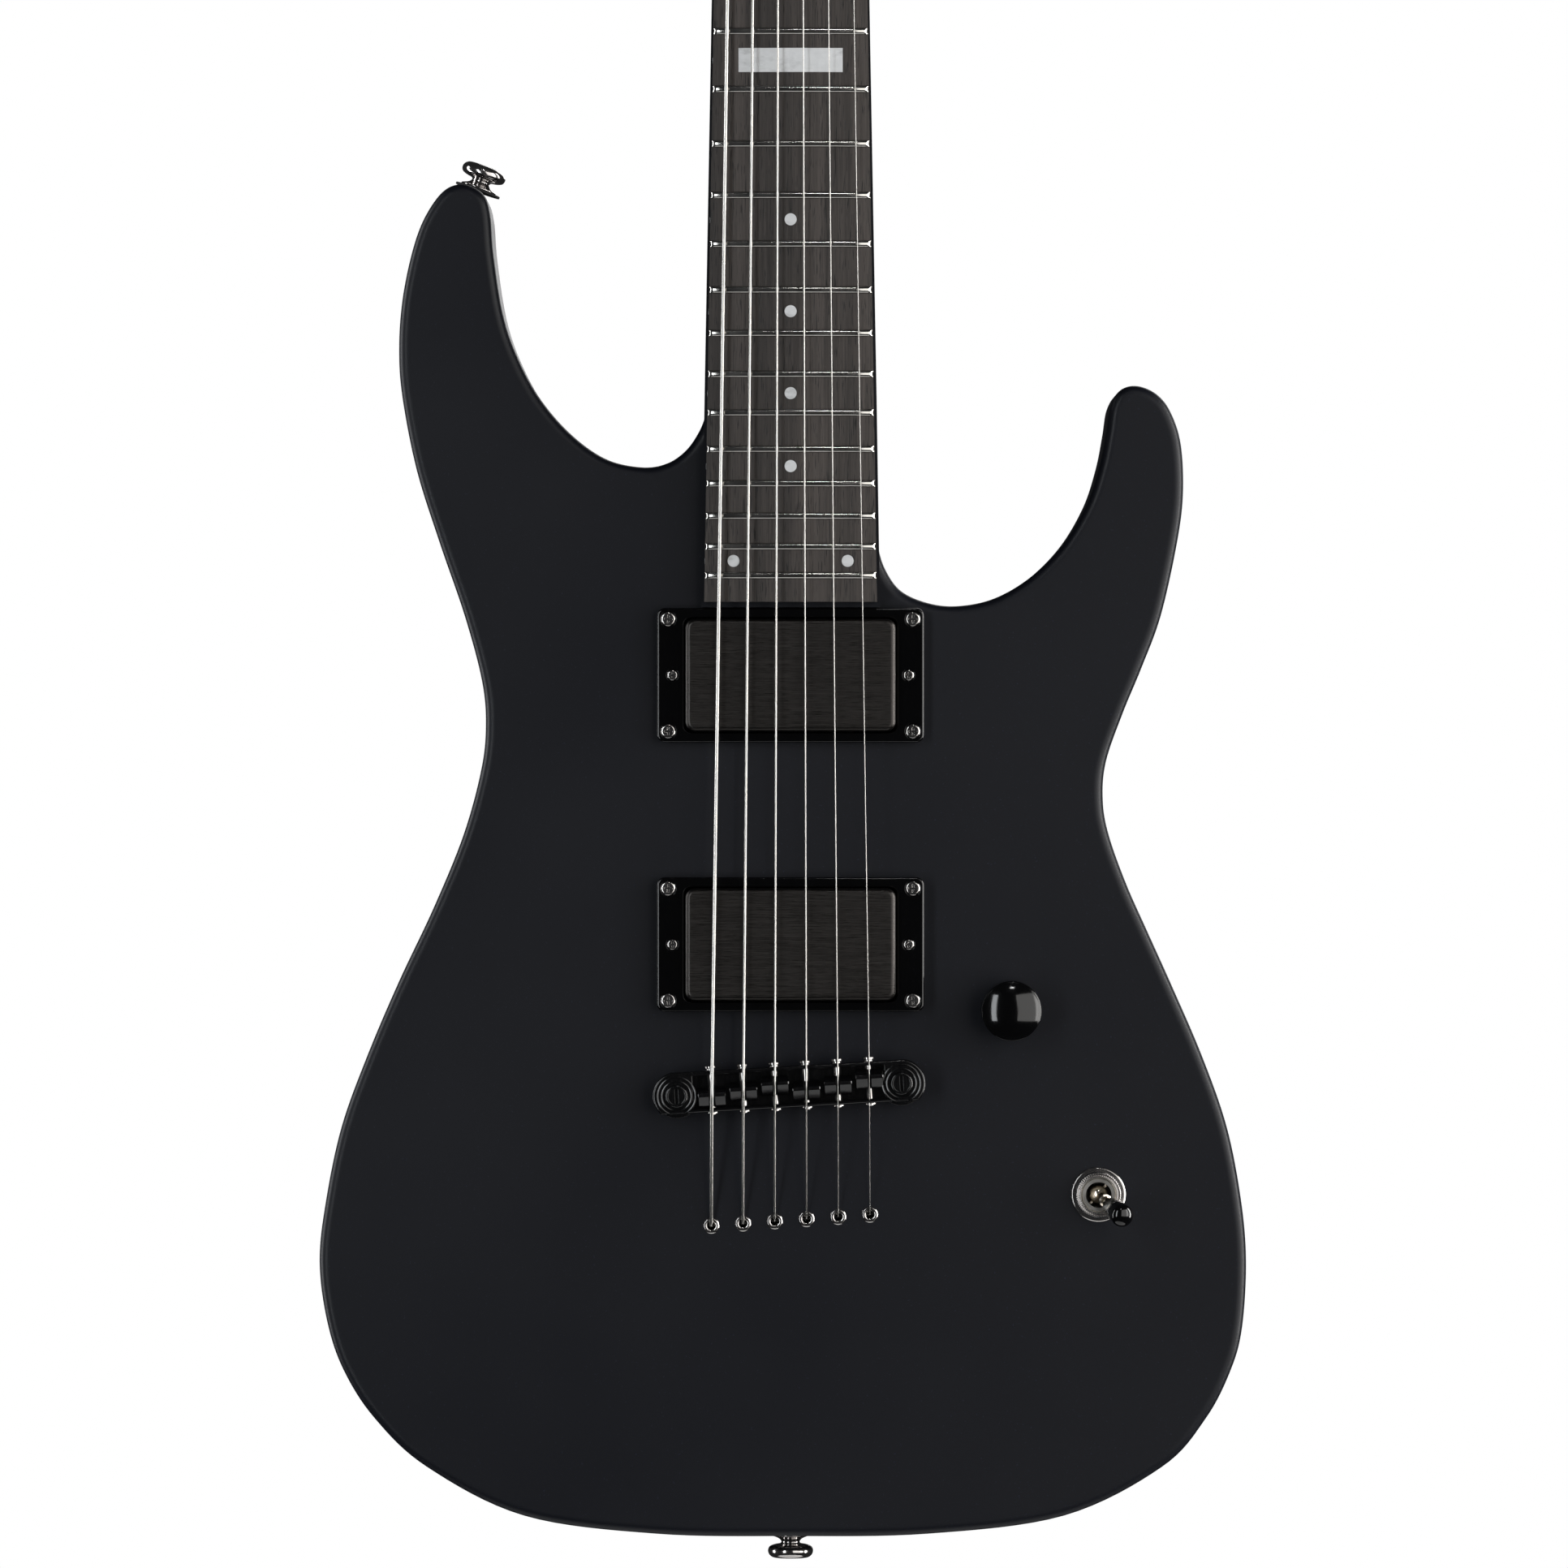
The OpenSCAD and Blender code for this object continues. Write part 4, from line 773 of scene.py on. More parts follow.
def neck_shape(edge):
    """Neck and headstock. A section at z is |x/w|^n + |y/d|^n = 1 behind the flat front: nearly square at
    the heel, where n is 9, and a soft D along the neck, where n is 2.1. Past the nut the sections blend into
    the tilted headstock's own."""
    z = np.concatenate([np.linspace(310.5, 380, 6), np.linspace(384, 430, 16), np.linspace(450, NUT_Z - 6, 18)])
    w = board_w(z) / 2 + np.clip((NUT_Z - z) / (NUT_Z - 380), 0, 1)
    shaft = 16 + (13.2 - 16) * np.clip((z - 420) / (NUT_Z - 6 - 420), 0, 1)
    blend = ramp(z, 378, 428)
    depth = 28 + (shaft - 28) * blend
    power = 9 + (2.1 - 9) * ramp(z, 372, 410)
    a = np.linspace(0, math.pi, 41)
    c, s = np.cos(a), np.sin(a)
    x = w[:, None] * np.sign(c) * np.abs(c) ** (2 / power[:, None])
    y = HEEL_Y + depth[:, None] * np.abs(s) ** (2 / power[:, None])
    sections = np.stack([x, y, np.repeat(z[:, None], len(a), 1)], axis=-1)
    last = sections[-1]
    half = NUT_W / 2
    in_head = apply(HEAD, np.stack([
        half * np.sign(c) * np.abs(c) ** 0.25, 1.2 + (HEAD_T - 1.5) * np.abs(s) ** 0.35, 0 * c + 14], axis=-1))
    t = np.linspace(0, 1, 9)[1:, None, None]
    lift = t * t * (3 - 2 * t)
    straight = last + (in_head - last) * t
    neck_end = straight + (in_head - last) * (0, 1, 0) * (lift - t)
    rows = np.concatenate([sections, neck_end])
    poles = np.stack([np.repeat(row.mean(0)[None], len(a), 0) for row in (rows[0], rows[-1])])
    shaft_shape = surface(np.concatenate([poles[:1], rows, poles[1:]]))
    outline = smooth(HEAD_OUTLINE_MARKS, 8)
    holes = [(circle(4.5, *post_at(i), 32), None, 0) for i in STRINGS]
    rod_pocket = (rectangle(11, 18, 2, 0, 13.5), 10.5, 0)
    head = slab(outline, 0, HEAD_T, edge, [*holes, rod_pocket], steps=5)
    return join(shaft_shape, place(HEAD, head))


def fret_shape(n):
    """One fret: half an ellipse 2.4 wide and 1 high carried along the board's crown, whose ends slope
    down at about 35 degrees."""
    height, half_w, sunk, slope_l = 1.0, 1.2, 0.35, 1.3
    half = board_w(fret_z(n)) / 2 - 0.15
    across = np.linspace(-half + slope_l, half - slope_l, 15)
    fall = np.linspace(0, 1, 4)[1:]
    x = np.concatenate([-half + slope_l * (1 - fall[::-1]), across, half - slope_l * (1 - fall)])
    ends = np.concatenate([1 - fall[::-1] ** 1.6, np.ones(15), 1 - fall**1.6])
    a = np.linspace(0, math.pi, 11)
    rise = np.concatenate([[-sunk], height * np.sin(a), [-sunk]])
    along = np.concatenate([[half_w - 0.2], half_w * np.cos(a), [-half_w + 0.2]])
    lifted = np.where(rise > 0, rise * ends[:, None], rise)
    points = np.stack([
        np.repeat(x[:, None], len(rise), 1),
        BOARD_Y + crown(x)[:, None] - lifted,
        fret_z(n) + np.repeat(along[None], len(x), 0)], axis=-1)
    closing = [np.repeat(row.mean(0)[None], len(rise), 0)[None] for row in (points[0], points[-1])]
    return surface(np.concatenate([closing[0], points, closing[1]]))


# ---- Strings ----
def string_points(i):
    """Points where string i bends on its way from its ball end to its post."""
    r = STRING_R[i]
    x_nut, x_bridge = spread(i, NUT_HALF), spread(i, BRIDGE_HALF)
    beam_z = BRIDGE_MID[1] + (x_bridge - BRIDGE_MID[0]) * math.tan(math.radians(BRIDGE_SLOPE))
    crest = np.array([x_bridge, STRING_Y - r + crown(x_bridge), beam_z + CREST_AHEAD[i]])
    nut = np.array([x_nut, BOARD_Y - 1.35 - r + crown(x_nut), NUT_Z + 1])
    fx, fz = ferrule_at(i)
    bend = np.array([fx, TOP_Y - FERRULE_TOP - 0.5, fz])
    ball = np.array([fx, BALL_Y - 2, fz])
    post = np.array([post_at(i)[0], 0, post_at(i)[1]])
    reach = 3.3 + r
    end = apply(HEAD, post + (reach * math.cos(math.radians(3)), 2 * r - post_height(i),
                              -reach * math.sin(math.radians(3))))
    return ball, bend, crest, nut, end


def bent(points, cut):
    """Line through the points whose bends are rounded over cut on each side."""
    return ease(points, cut, 4)


def wrap_points(i):
    """Turns of string i on its post, a string's thickness apart: a helix in the headstock's frame."""
    r = STRING_R[i]
    turns, steps = 2.5, 24
    k = np.arange(turns * steps + 1)
    a = np.radians(-5 - k * 360 / steps)
    reach = 3.3 + r
    x, z = post_at(i)
    y = 2 * r - post_height(i) + 2.1 * r * k / steps
    return apply(HEAD, np.stack([x + reach * np.cos(a), y, z - reach * np.sin(a)], axis=-1))


def string_shape(i):
    """A string: a round tube along its bent path, its turns round the post and the ball at its end."""
    r = STRING_R[i]
    fx, fz = ferrule_at(i)
    ball = lathe(ease([(0, -1.9), (1.95, -1.9), (1.95, 1.9), (0, 1.9)], 0.4), 24)
    return join(
        tube(bent(string_points(i), 1.0), r, (1, 0, 0)),
        tube(wrap_points(i), r, (0, 1, 0), 10),
        place(move(fx, BALL_Y, fz) @ turn(Y, 90), ball),
    )


# ---- Pickups ----
def pickup_shape(k, edge):
    """A pickup: its bent cover over a base plate with an ear at each end."""
    z = PICKUP_Z[k]
    outline = rectangle(*COVER, 3.2, 0, z, 8)
    cover = slab(outline, COVER_TOP[k], EAR_Y - 0.02, edge, back_edge=0.2, steps=6, lip=0.4)
    holes = [(circle(1.32, x, z, 24), None, 0) for x in (-HEIGHT_SCREW_X, HEIGHT_SCREW_X)]
    ears = slab(rectangle(86, 12, 2, 0, z), EAR_Y, EAR_Y + 1.6, 0.2, holes)
    return join(cover, ears)


def ring_shape(k):
    """A pickup ring: a frame of rounded section, with a sunk seat for each of its screws."""
    z = PICKUP_Z[k]
    seats = [(circle(2.6, x, z + dz, 32), 1.3, 0.15)
             for x in (-RING_SCREW[0], RING_SCREW[0]) for dz in (-RING_SCREW[1], RING_SCREW[1])]
    seats += [(circle(2, x, z, 32), 1.2, 0.15) for x in (-HEIGHT_SCREW_X, HEIGHT_SCREW_X)]
    window = (rectangle(COVER[0] + 0.9, COVER[1] + 0.9, 2.4, 0, z), None, 0.4)
    return slab(rectangle(*RING, 2.6, 0, z, 8), RING_TOP[k], TOP_Y - 0.02, 0.7, [window, *seats], 0.1, 5, 0.2)


# ---- Bridge ----
def beam_outline(steps=20):
    """The beam's outline: round ends about the posts, joined by a bar that lies a little ahead of them.
    The ends are circles of radius R from the angle where the bar's side meets them."""
    half, r = POST_GAP / 2, BEAM_END_R
    front, tail = BEAM_AHEAD + BEAM_W / 2, BEAM_AHEAD - BEAM_W / 2
    t = np.linspace(math.asin(tail / r), math.asin(front / r), 2 * steps + 1)
    right = np.stack([half + r * np.cos(t), r * np.sin(t)], axis=-1)
    line = np.vstack([[(half - 4, tail)], right])
    return np.vstack([line, (line * (-1, 1))[::-1]])


def beam_shape(edge):
    """Bridge beam: a channel for the saddles, a hole for each post and raised rings round them. Its tail
    side is bevelled under the strings: the depth below the top grows in proportion to the way past the
    bevel's start."""
    posts = (-POST_GAP / 2, POST_GAP / 2)
    bores = [(circle(3.3, x, 0), None, 0.2) for x in posts]
    channel = (rectangle(*CHANNEL, 0.6, 0, BEAM_AHEAD), 5.2, 0.25)
    beam = slab(beam_outline(), BEAM_TOP, BEAM_BOTTOM, edge, [channel, *bores], 0.3, 5)
    points = beam.points
    low = BEAM_TOP + BEVEL[1] * np.clip(1 - (points[:, 2] - BEAM_AHEAD + BEAM_W / 2) / BEVEL[0], 0, 1)
    over = np.abs(points[:, 0]) < CHANNEL[0] / 2 + 1
    points[:, 1] = np.where(over, np.maximum(points[:, 1], low), points[:, 1])
    parts = [beam]
    for x in posts:
        for r in (6.3, 4.9):
            bead = [(r + 0.3, -0.02), (r + 0.25, 0.16), (r, 0.24), (r - 0.25, 0.16), (r - 0.3, -0.02)]
            parts.append(place(move(x, BEAM_TOP, 0) @ FACING_FRONT, lathe(bead, closed=True)))
    return join(*parts)


def intonation_screw(x):
    """Screw along the strings: a two-tier head on the neck side and a spring clip on the tail side."""
    tail, front = BEAM_AHEAD - BEAM_W / 2, BEAM_AHEAD + BEAM_W / 2
    profile = [(0, tail - 1.1), (0.8, tail - 1.1), (1, tail - 0.9), (1, tail - 0.6), (1.9, tail - 0.5),
               (1.9, tail - 0.15), (1, tail - 0.05), (1, front), (1.5, front + 0.05), (1.5, front + 0.5),
               (1.1, front + 0.6), (2, front + 0.75), (2.05, front + 1.3), (1.8, front + 1.6), (0, front + 1.6)]
    return place(move(x, INTONATION_Y, 0), lathe(profile, 28))


def along_beam(i):
    """Place of string i in the bridge's frame."""
    slope = math.radians(BRIDGE_SLOPE)
    return (spread(i, BRIDGE_HALF) - BRIDGE_MID[0]) / math.cos(slope) + CREST_AHEAD[i] * math.sin(slope)


def saddle_shape(i):
    """Saddle: its five-sided section carried across the strings, with rounded edges and a slot
    for its string. The slot's floor is level, and nothing of the section stands above it."""
    x = along_beam(i)
    across = CREST_AHEAD[i] * math.cos(math.radians(BRIDGE_SLOPE)) - CREST_OFF
    tip_y = STRING_Y + crown(spread(i, BRIDGE_HALF))
    low_y, l = BEAM_TOP + 5, SADDLE[1] / 2
    section = ease([(low_y, -l), (low_y, l), (BEAM_TOP + 0.4, l), (tip_y - 0.7, CREST_OFF + 0.55),
                    (tip_y - 0.7, CREST_OFF - 0.55), (BEAM_TOP + 0.4, -l)], 0.22, 2, closed=True)
    notch_half, notch_low = STRING_R[i] + 0.5, 2.3
    half = SADDLE[0] / 2
    across_notch = np.linspace(-notch_half, notch_half, 13)
    station = np.concatenate([[-half, -half + 0.2], across_notch, [half - 0.2, half]])
    inset = np.zeros(len(station))
    inset[[0, -1]] = 0.2
    open_by = np.clip((notch_half - np.abs(station)) / 0.2, 0, 1)
    level = tip_y - 1 + (notch_low + 1) * open_by
    rows = []
    for s, trim, cut in zip(station, inset, level):
        loop = offset(section, trim)
        floor = np.maximum(loop[:, 0], cut)
        rows.append(np.stack([np.full(len(loop), x + s), floor, across + loop[:, 1]], axis=-1))
    rows = np.stack(rows)
    poles = np.stack([np.repeat(row.mean(0)[None], len(section), 0) for row in (rows[0], rows[-1])])
    return surface(np.concatenate([poles[:1], rows, poles[1:]]))


def bridge_post_shape(x):
    """Bridge post: threaded shank, adjusting flange under the beam and a ringed, slotted head above it."""
    gap = 0.3
    top = BEAM_TOP - gap - 1.6
    shank_profile = [(0, TOP_Y + 14), (3.4, TOP_Y + 14), (4, TOP_Y + 13.2)]
    for step in range(16):
        y = TOP_Y + 13 - step * 1.1
        shank_profile += [(4, y), (3.75, y - 0.5)]
    flange = ease([(3.6, BEAM_BOTTOM + gap + 1.3), (7.6, BEAM_BOTTOM + gap + 1.3), (7.6, BEAM_BOTTOM + gap),
                   (3.22, BEAM_BOTTOM + gap), (3.22, BEAM_TOP - gap + 0.2), (0, BEAM_TOP - gap + 0.2)], 0.25)
    profile = np.vstack([shank_profile, flange]) * (1, -1)
    outer, disc = circle(3.75), circle(2.75)
    slot = rectangle(1.1, 5.0, 0.3)
    side, front, back = wall(outer, top, BEAM_TOP - gap, 0.55, 0.1)
    sink, near, far = wall(disc, top, top + 0.3, 0.15, 0, hole=True, steps=2)
    groove, slot_near, slot_far = wall(slot, top + 0.3, top + 1.3, 0.08, 0, hole=True, steps=2, lip=0.05)
    head = join(side, sink, groove, face(top, front, near), face(top + 0.3, far, slot_near),
                face(top + 1.3, slot_far), face(BEAM_TOP - gap, back))
    return place(BRIDGE @ move(x, 0, 0), place(FACING_FRONT, lathe(profile, 48)), head)


# ---- Controls ----
def knob_shape():
    """Volume knob: straight side, tight shoulder and a dome that falls from its middle as the distance to
    the power 2.2."""
    r, h = KNOB_D / 2, KNOB_H
    rise, rim, power = 2.4, r - 0.5, 2.2
    x = np.linspace(rim, 0, 24)[1:]
    dome = np.stack([x, h - rise * (x / rim) ** power], axis=-1)
    shoulder = ease([(r, 0), (r, h - rise - 0.2), (rim, h - rise)], 0.6, 5)
    inner = [(3.1, 11), (3.1, 4.5), (7.8, 4.5), (7.8, 0), (r - 0.3, 0), (r, 0.3)]
    profile = np.vstack([[(0, 11)], inner, shoulder[1:], dome])
    return place(move(KNOB[0], TOP_Y - KNOB_GAP, KNOB[1]) @ FACING_FRONT, lathe(profile, 96))


def switch_nut_shape():
    """Washer and knurled nut of the switch, with concentric steps on the nut's face."""
    washer = ease([(6, 0), (9.15, 0), (9.15, 0.6), (8.7, 0.9), (6, 0.9)], 0.12, 2, closed=True)
    nut = ease([(5.95, 0.92), (7.8, 0.92), (7.8, 2.9), (7.3, 3.5), (6.9, 3.5), (6.75, 3.2), (6.5, 3.2),
                (6.35, 3.8), (5.95, 3.8)], 0.12, 2, closed=True)
    return place(SWITCH_FRAME @ move(0, TOP_Y, 0) @ FACING_FRONT, lathe(washer, 96, closed=True),
                 lathe(nut, 240, closed=True, ripple=0.014, ripples=60))


def switch_well_shape():
    """Bushing of the switch: threads outside, and bright steps down to the lever inside."""
    profile = [(5.9, -6.5), (5.9, 4.2), (5.7, 4.5), (5.45, 4.5), (5.3, 4.1), (5.05, 4.0), (4.95, 4.3),
               (4.7, 4.3), (4.55, 3.6), (4.35, 3.4), (4.3, -6.5)]
    return place(SWITCH_FRAME @ move(0, TOP_Y, 0) @ FACING_FRONT, lathe(profile, 64, closed=True))


def lever_shape():
    """Lever: a ball on its pivot pin, a collar and a thin rod up into the tip."""
    ball = [(3.4 * math.cos(a), 3.4 * math.sin(a)) for a in np.linspace(-1.1, 1.05, 12)]
    profile = [(0, -7), (1.6, -7), *ball, (1.7, 3.6), (1.7, 6), (2.1, 6.3), (2.1, 7.4), (1.6, 7.7), (1.6, 18.8),
               (0, 18.8)]
    pin = place(turn(X, -90), lathe([(0, -4), (0.8, -4), (0.8, 4), (0, 4)], 20))
    return place(LEVER, lathe(profile, 32), pin)


def tip_shape():
    """Barrel tip of the lever: a slim taper that swells to a round end."""
    a = np.linspace(0, math.pi / 2, 12)
    end = np.stack([3.8 * np.cos(a), 25 + 2.6 * np.sin(a)], axis=-1)
    inner = [(0, 19.5), (1.62, 19.5), (1.62, 11.6), (2.0, 11.5)]
    side = smooth([(2.2, 11.6), (2.6, 12.6), (2.95, 15.5), (3.5, 20.5), (3.8, 24.6)], 4)
    return place(LEVER, lathe(np.vstack([inner, side, end]), 64))


def nut_at(matrix, across, bore, thickness):
    """Hexagon nut with softened corners."""
    hexagon = ease(circle(across / 2, sides=6), 0.5, 2, closed=True)
    return place(matrix @ turn(X, 90), slab(hexagon, -thickness, 0, 0.35, [(circle(bore), None, 0.3)]))


# ---- Tuners ----
def housing_shape(i):
    """Tuner housing: a cast box with soft edges, a screw foot and a barrel for the button's shaft."""
    box = slab(rectangle(18.5, 20, 3.2, -2, 2.6, 8), HEAD_T + 0.05, HEAD_T + 11.5, 0.4, back_edge=1.6, steps=5)
    foot = slab(rectangle(7, 12, 2.2, 9, 5), HEAD_T + 0.05, HEAD_T + 2, 0.2, back_edge=0.5)
    barrel = ease([(1.87, 10), (3.4, 10), (3.4, 14.4), (2.9, 15), (1.87, 15)], 0.25, 3, closed=True)
    collar = place(move(0, WORM_Y, WORM_Z) @ turn(Y, -90), lathe(barrel, 40, closed=True))
    rim = ease([(3.3, -0.2), (5.2, -0.2), (5.2, 0.5), (3.3, 0.5)], 0.2, 2, closed=True)
    cap_ring = place(move(0, HEAD_T + 11.5, 0) @ FACING_BACK, lathe(rim, 48, closed=True))
    return place(post_frame(i), box, foot, collar, cap_ring)


def bushing_shape(i):
    """Bushing in the headstock's face: a washer, a hexagon and a sleeve."""
    washer = slab(circle(6.6), -0.93, -0.03, 0.25, [(circle(3.07), None, 0)], 0.05)
    six_sides = ease(circle(5.7, sides=6), 0.4, 2, closed=True)
    hexagon = slab(six_sides, -2.2, -0.93, 0.35, [(circle(3.07), None, 0.2)], 0.05)
    sleeve = slab(circle(4.46), -0.1, HEAD_T - 1, 0, [(circle(3.07), None, 0)], 0.2)
    return place(post_frame(i), washer, hexagon, sleeve)


def button_shape(i):
    """Tuner button on its worm: a shaft, a collar and a flattened oval grip. The grip's section at height
    h is |x/a|^3 + |y/b|^3 = 1, and both half-widths follow the same rounded profile."""
    worm = [(0, -5.2), (1.8, -5.2)]
    for k in range(-3, 4):
        worm += [(1.8, 1.4 * k - 0.45), (2.6, 1.4 * k - 0.2), (2.6, 1.4 * k + 0.2), (1.8, 1.4 * k + 0.45)]
    rod = np.vstack([worm, ease([(1.8, 5), (1.8, 25), (3, 25), (3, 28), (0, 28)], 0.4)])
    shaft = lathe(rod, 32)
    t = np.linspace(0, 2 * math.pi, 48, endpoint=False)
    c, s = np.cos(t), np.sin(t)
    oval_x, oval_y = np.sign(c) * np.abs(c) ** 0.62, np.sign(s) * np.abs(s) ** 0.62
    u = np.linspace(0, math.pi, 17)
    h = 35 - 7.6 * np.cos(u)
    width = np.sin(u) ** 0.45
    grip = np.stack([
        (width * 10.0)[:, None] * oval_x, (width ** 0.8 * 4.0)[:, None] * oval_y, h[:, None] + 0 * t], axis=-1)
    whole = join(shaft, surface(grip))
    return place(post_frame(i) @ move(0, WORM_Y, WORM_Z) @ turn(Y, -90), whole)


def tuner_post_shape(i):
    """Tuner post: waisted where the string winds, with a rounded top and its worm wheel below."""
    h = post_height(i)
    low = HEAD_T + 9.6
    profile = ease([(0, -low), (3, -low), (3, h - 3.6), (2.85, h - 2), (2.85, h + 1), (3, h + 2.2),
                    (3, h + 4), (0, h + 4)], 0.45)
    wheel = slab(circle(4.95, sides=45), WORM_Y - 2.2, WORM_Y + 2.2, 0.2)
    hole_rim = lathe([(0.8, -0.02), (0.8, 0.06), (1.05, 0.06), (1.05, -0.02)], 24, closed=True)
    eyelets = [place(move(side * 2.86, -h, 0) @ turn(Y, side * 90), hole_rim) for side in (-1, 1)]
    return place(post_frame(i), place(FACING_FRONT, lathe(profile, 48)), wheel, *eyelets)


# ---- Strap buttons ----
def strap_shape(matrix):
    """Strap button: a foot, a narrow waist and a wide rounded head with a sunk seat for its screw."""
    profile = smooth([(6, 0), (6, 0.6), (4.2, 1.4), (3.2, 2.3), (3.4, 3.1), (5.6, 3.6), (7.1, 4.3), (7.6, 5.6),
                      (7.2, 6.9), (6.2, 7.75), (5.2, 8)], 5)
    seat = [(4.1, 7.9), (4.1, 5), (2.1, 5), (2.1, 0)]
    return place(matrix @ move(0, 0, FELT_T), lathe(np.vstack([profile, seat]), 72, closed=True))


def strap_screw_shape(matrix):
    head = place(turn(X, -90), screw_head(4, 2.2, 0.8, 4.4, 0.8, 1.2))
    low = matrix @ move(0, 0, FELT_T + 8 - 2.95)
    return place(low, head, place(turn(X, -90), shank(1.85, 26)))


# ---- Operators ----
class GUITAR_OT_body(bpy.types.Operator):
    """Body of satin black lacquer with rounded edges"""

    bl_idname = "guitar.body"
    bl_label = "Body"

    def execute(self, _context):
        edge = sizes().body_edge / MM
        add_piece("body_wood", "root", "body_lacquer", body_shape(edge), ["body"])
        return {"FINISHED"}


class GUITAR_OT_neck(bpy.types.Operator):
    """Neck and headstock, the nut and the truss rod's cover"""

    bl_idname = "guitar.neck"
    bl_label = "Neck"

    def execute(self, _context):
        add_piece("neck_wood", "root", "neck_lacquer", neck_shape(sizes().head_edge / MM), ["neck"])
        plate = ease([(-9.5, 1), (9.5, 1), (4.2, 33), (-4.2, 33)], 2.5, 5, closed=True)
        holes = [(circle(1.2, x, z, 20), None, 0.3) for x, z in ROD_COVER_SCREWS]
        add_piece("rod_cover", "root", "black_plastic", place(HEAD, slab(plate, -2, -0.05, 0.4, holes, 0.1)),
                  ["truss_rod_cover"])
        dress("nut_black", "nut")
        dress("steel", "truss_rod")
        dress("brass", "truss_rod_nut")
        return {"FINISHED"}


class GUITAR_OT_fretboard(bpy.types.Operator):
    """Fretboard, its markers and frets"""

    bl_idname = "guitar.fretboard"
    bl_label = "Fretboard"

    def execute(self, _context):
        wires = join(*[fret_shape(n + 1) for n in range(FRETS)])
        add_piece("fret_wires", "root", "fret_wire", wires, ["frets"], 50)
        dress("ebony", "fretboard")
        dress("marker_white", "inlays")
        return {"FINISHED"}


class GUITAR_OT_strings(bpy.types.Operator):
    """Six strings from their ball ends to the tuner posts, and the ferrules that they pass through"""

    bl_idname = "guitar.strings"
    bl_label = "Strings"

    def execute(self, _context):
        for i in STRINGS:
            stands_for = ["strings"] if i == 0 else []
            add_piece(f"string_{i + 1}", "root", "string_steel", string_shape(i), stands_for, 60)
        front = ease([(1.4, -5.9), (1.4, 0.25), (1.75, 0.4), (2.3, 0.4), (2.7, 0.15), (2.7, 0), (2.2, 0),
                      (2.2, -5.9)], 0.12, 3, closed=True)
        back = ease([(2.75, 0.05), (3.57, 0.05), (3.57, 9.9), (1, 9.9), (1, FERRULE_BORE),
                     (2.75, FERRULE_BORE)], 0.15, 2, closed=True)
        parts = []
        for x, z in map(ferrule_at, STRINGS):
            parts.append(place(move(x, TOP_Y, z) @ FACING_FRONT, lathe(front, 40, closed=True)))
            parts.append(place(move(x, BACK_Y, z) @ FACING_FRONT, lathe(back, 40, closed=True)))
        add_piece("ferrules", "root", "black_nickel", join(*parts), ["string_ferrules"])
        return {"FINISHED"}


class GUITAR_OT_pickups(bpy.types.Operator):
    """Pickups, their rings, screws and springs"""

    bl_idname = "guitar.pickups"
    bl_label = "Pickups"

    def execute(self, _context):
        edge = sizes().cover_edge / MM
        rings, ring_screws, height_screws = [], [], []
        for k, side in enumerate(("neck", "bridge")):
            add_piece(f"{side}_pickup_cover", f"pickup_{side}", "brushed_cover", pickup_shape(k, edge),
                      [f"{side}_pickup"])
            rings.append(ring_shape(k))
            for x in (-RING_SCREW[0], RING_SCREW[0]):
                for dz in (-RING_SCREW[1], RING_SCREW[1]):
                    seat = move(x, RING_TOP[k] + 1.28, PICKUP_Z[k] + dz) @ turn(Y, 11 * x + 29 * dz)
                    ring_screws.append(place(seat, screw_head(2.45, 1.65, 0.6, 2.7), shank(1.25, 10)))
            for x in (-HEIGHT_SCREW_X, HEIGHT_SCREW_X):
                seat = move(x, RING_TOP[k] + 1.18, PICKUP_Z[k]) @ turn(Y, 23 * x)
                height_screws.append(place(seat, screw_head(1.8, 1.5, 0.5, 2.0, 0.45), shank(1.25, 17)))
        add_piece("rings", "root", "black_plastic", join(*rings), ["pickup_rings"])
        add_piece("ring_screw_heads", "root", "black_nickel", join(*ring_screws), ["ring_screws"])
        add_piece("height_screw_heads", "root", "black_nickel", join(*height_screws), ["height_screws"])
        dress("steel", "neck_pickup_springs", "bridge_pickup_springs")
        return {"FINISHED"}


class GUITAR_OT_bridge(bpy.types.Operator):
    """Bridge beam on its two posts, with six saddles and their intonation screws"""

    bl_idname = "guitar.bridge"
    bl_label = "Bridge"

    def execute(self, _context):
        edge = sizes().hardware_edge / MM
        add_piece("beam", "bridge", "black_metal", place(BRIDGE, beam_shape(edge)), ["bridge_beam"])
        screws = [intonation_screw(along_beam(i)) for i in STRINGS]
        add_piece("saddle_screws", "bridge", "black_nickel", place(BRIDGE, *screws), ["intonation_screws"])
        for i in STRINGS:
            add_piece(f"saddle_block_{i + 1}", f"saddle_{i + 1}_body", "black_metal",
                      place(BRIDGE, saddle_shape(i)), [f"saddle_{i + 1}"])
        for side, x in (("bass", -POST_GAP / 2), ("treble", POST_GAP / 2)):
            shape = bridge_post_shape(x)
            add_piece(f"post_{side}", f"post_{side}", "black_metal", shape, [f"bridge_post_{side}"])
        dress("steel", "bridge_inserts")
        return {"FINISHED"}


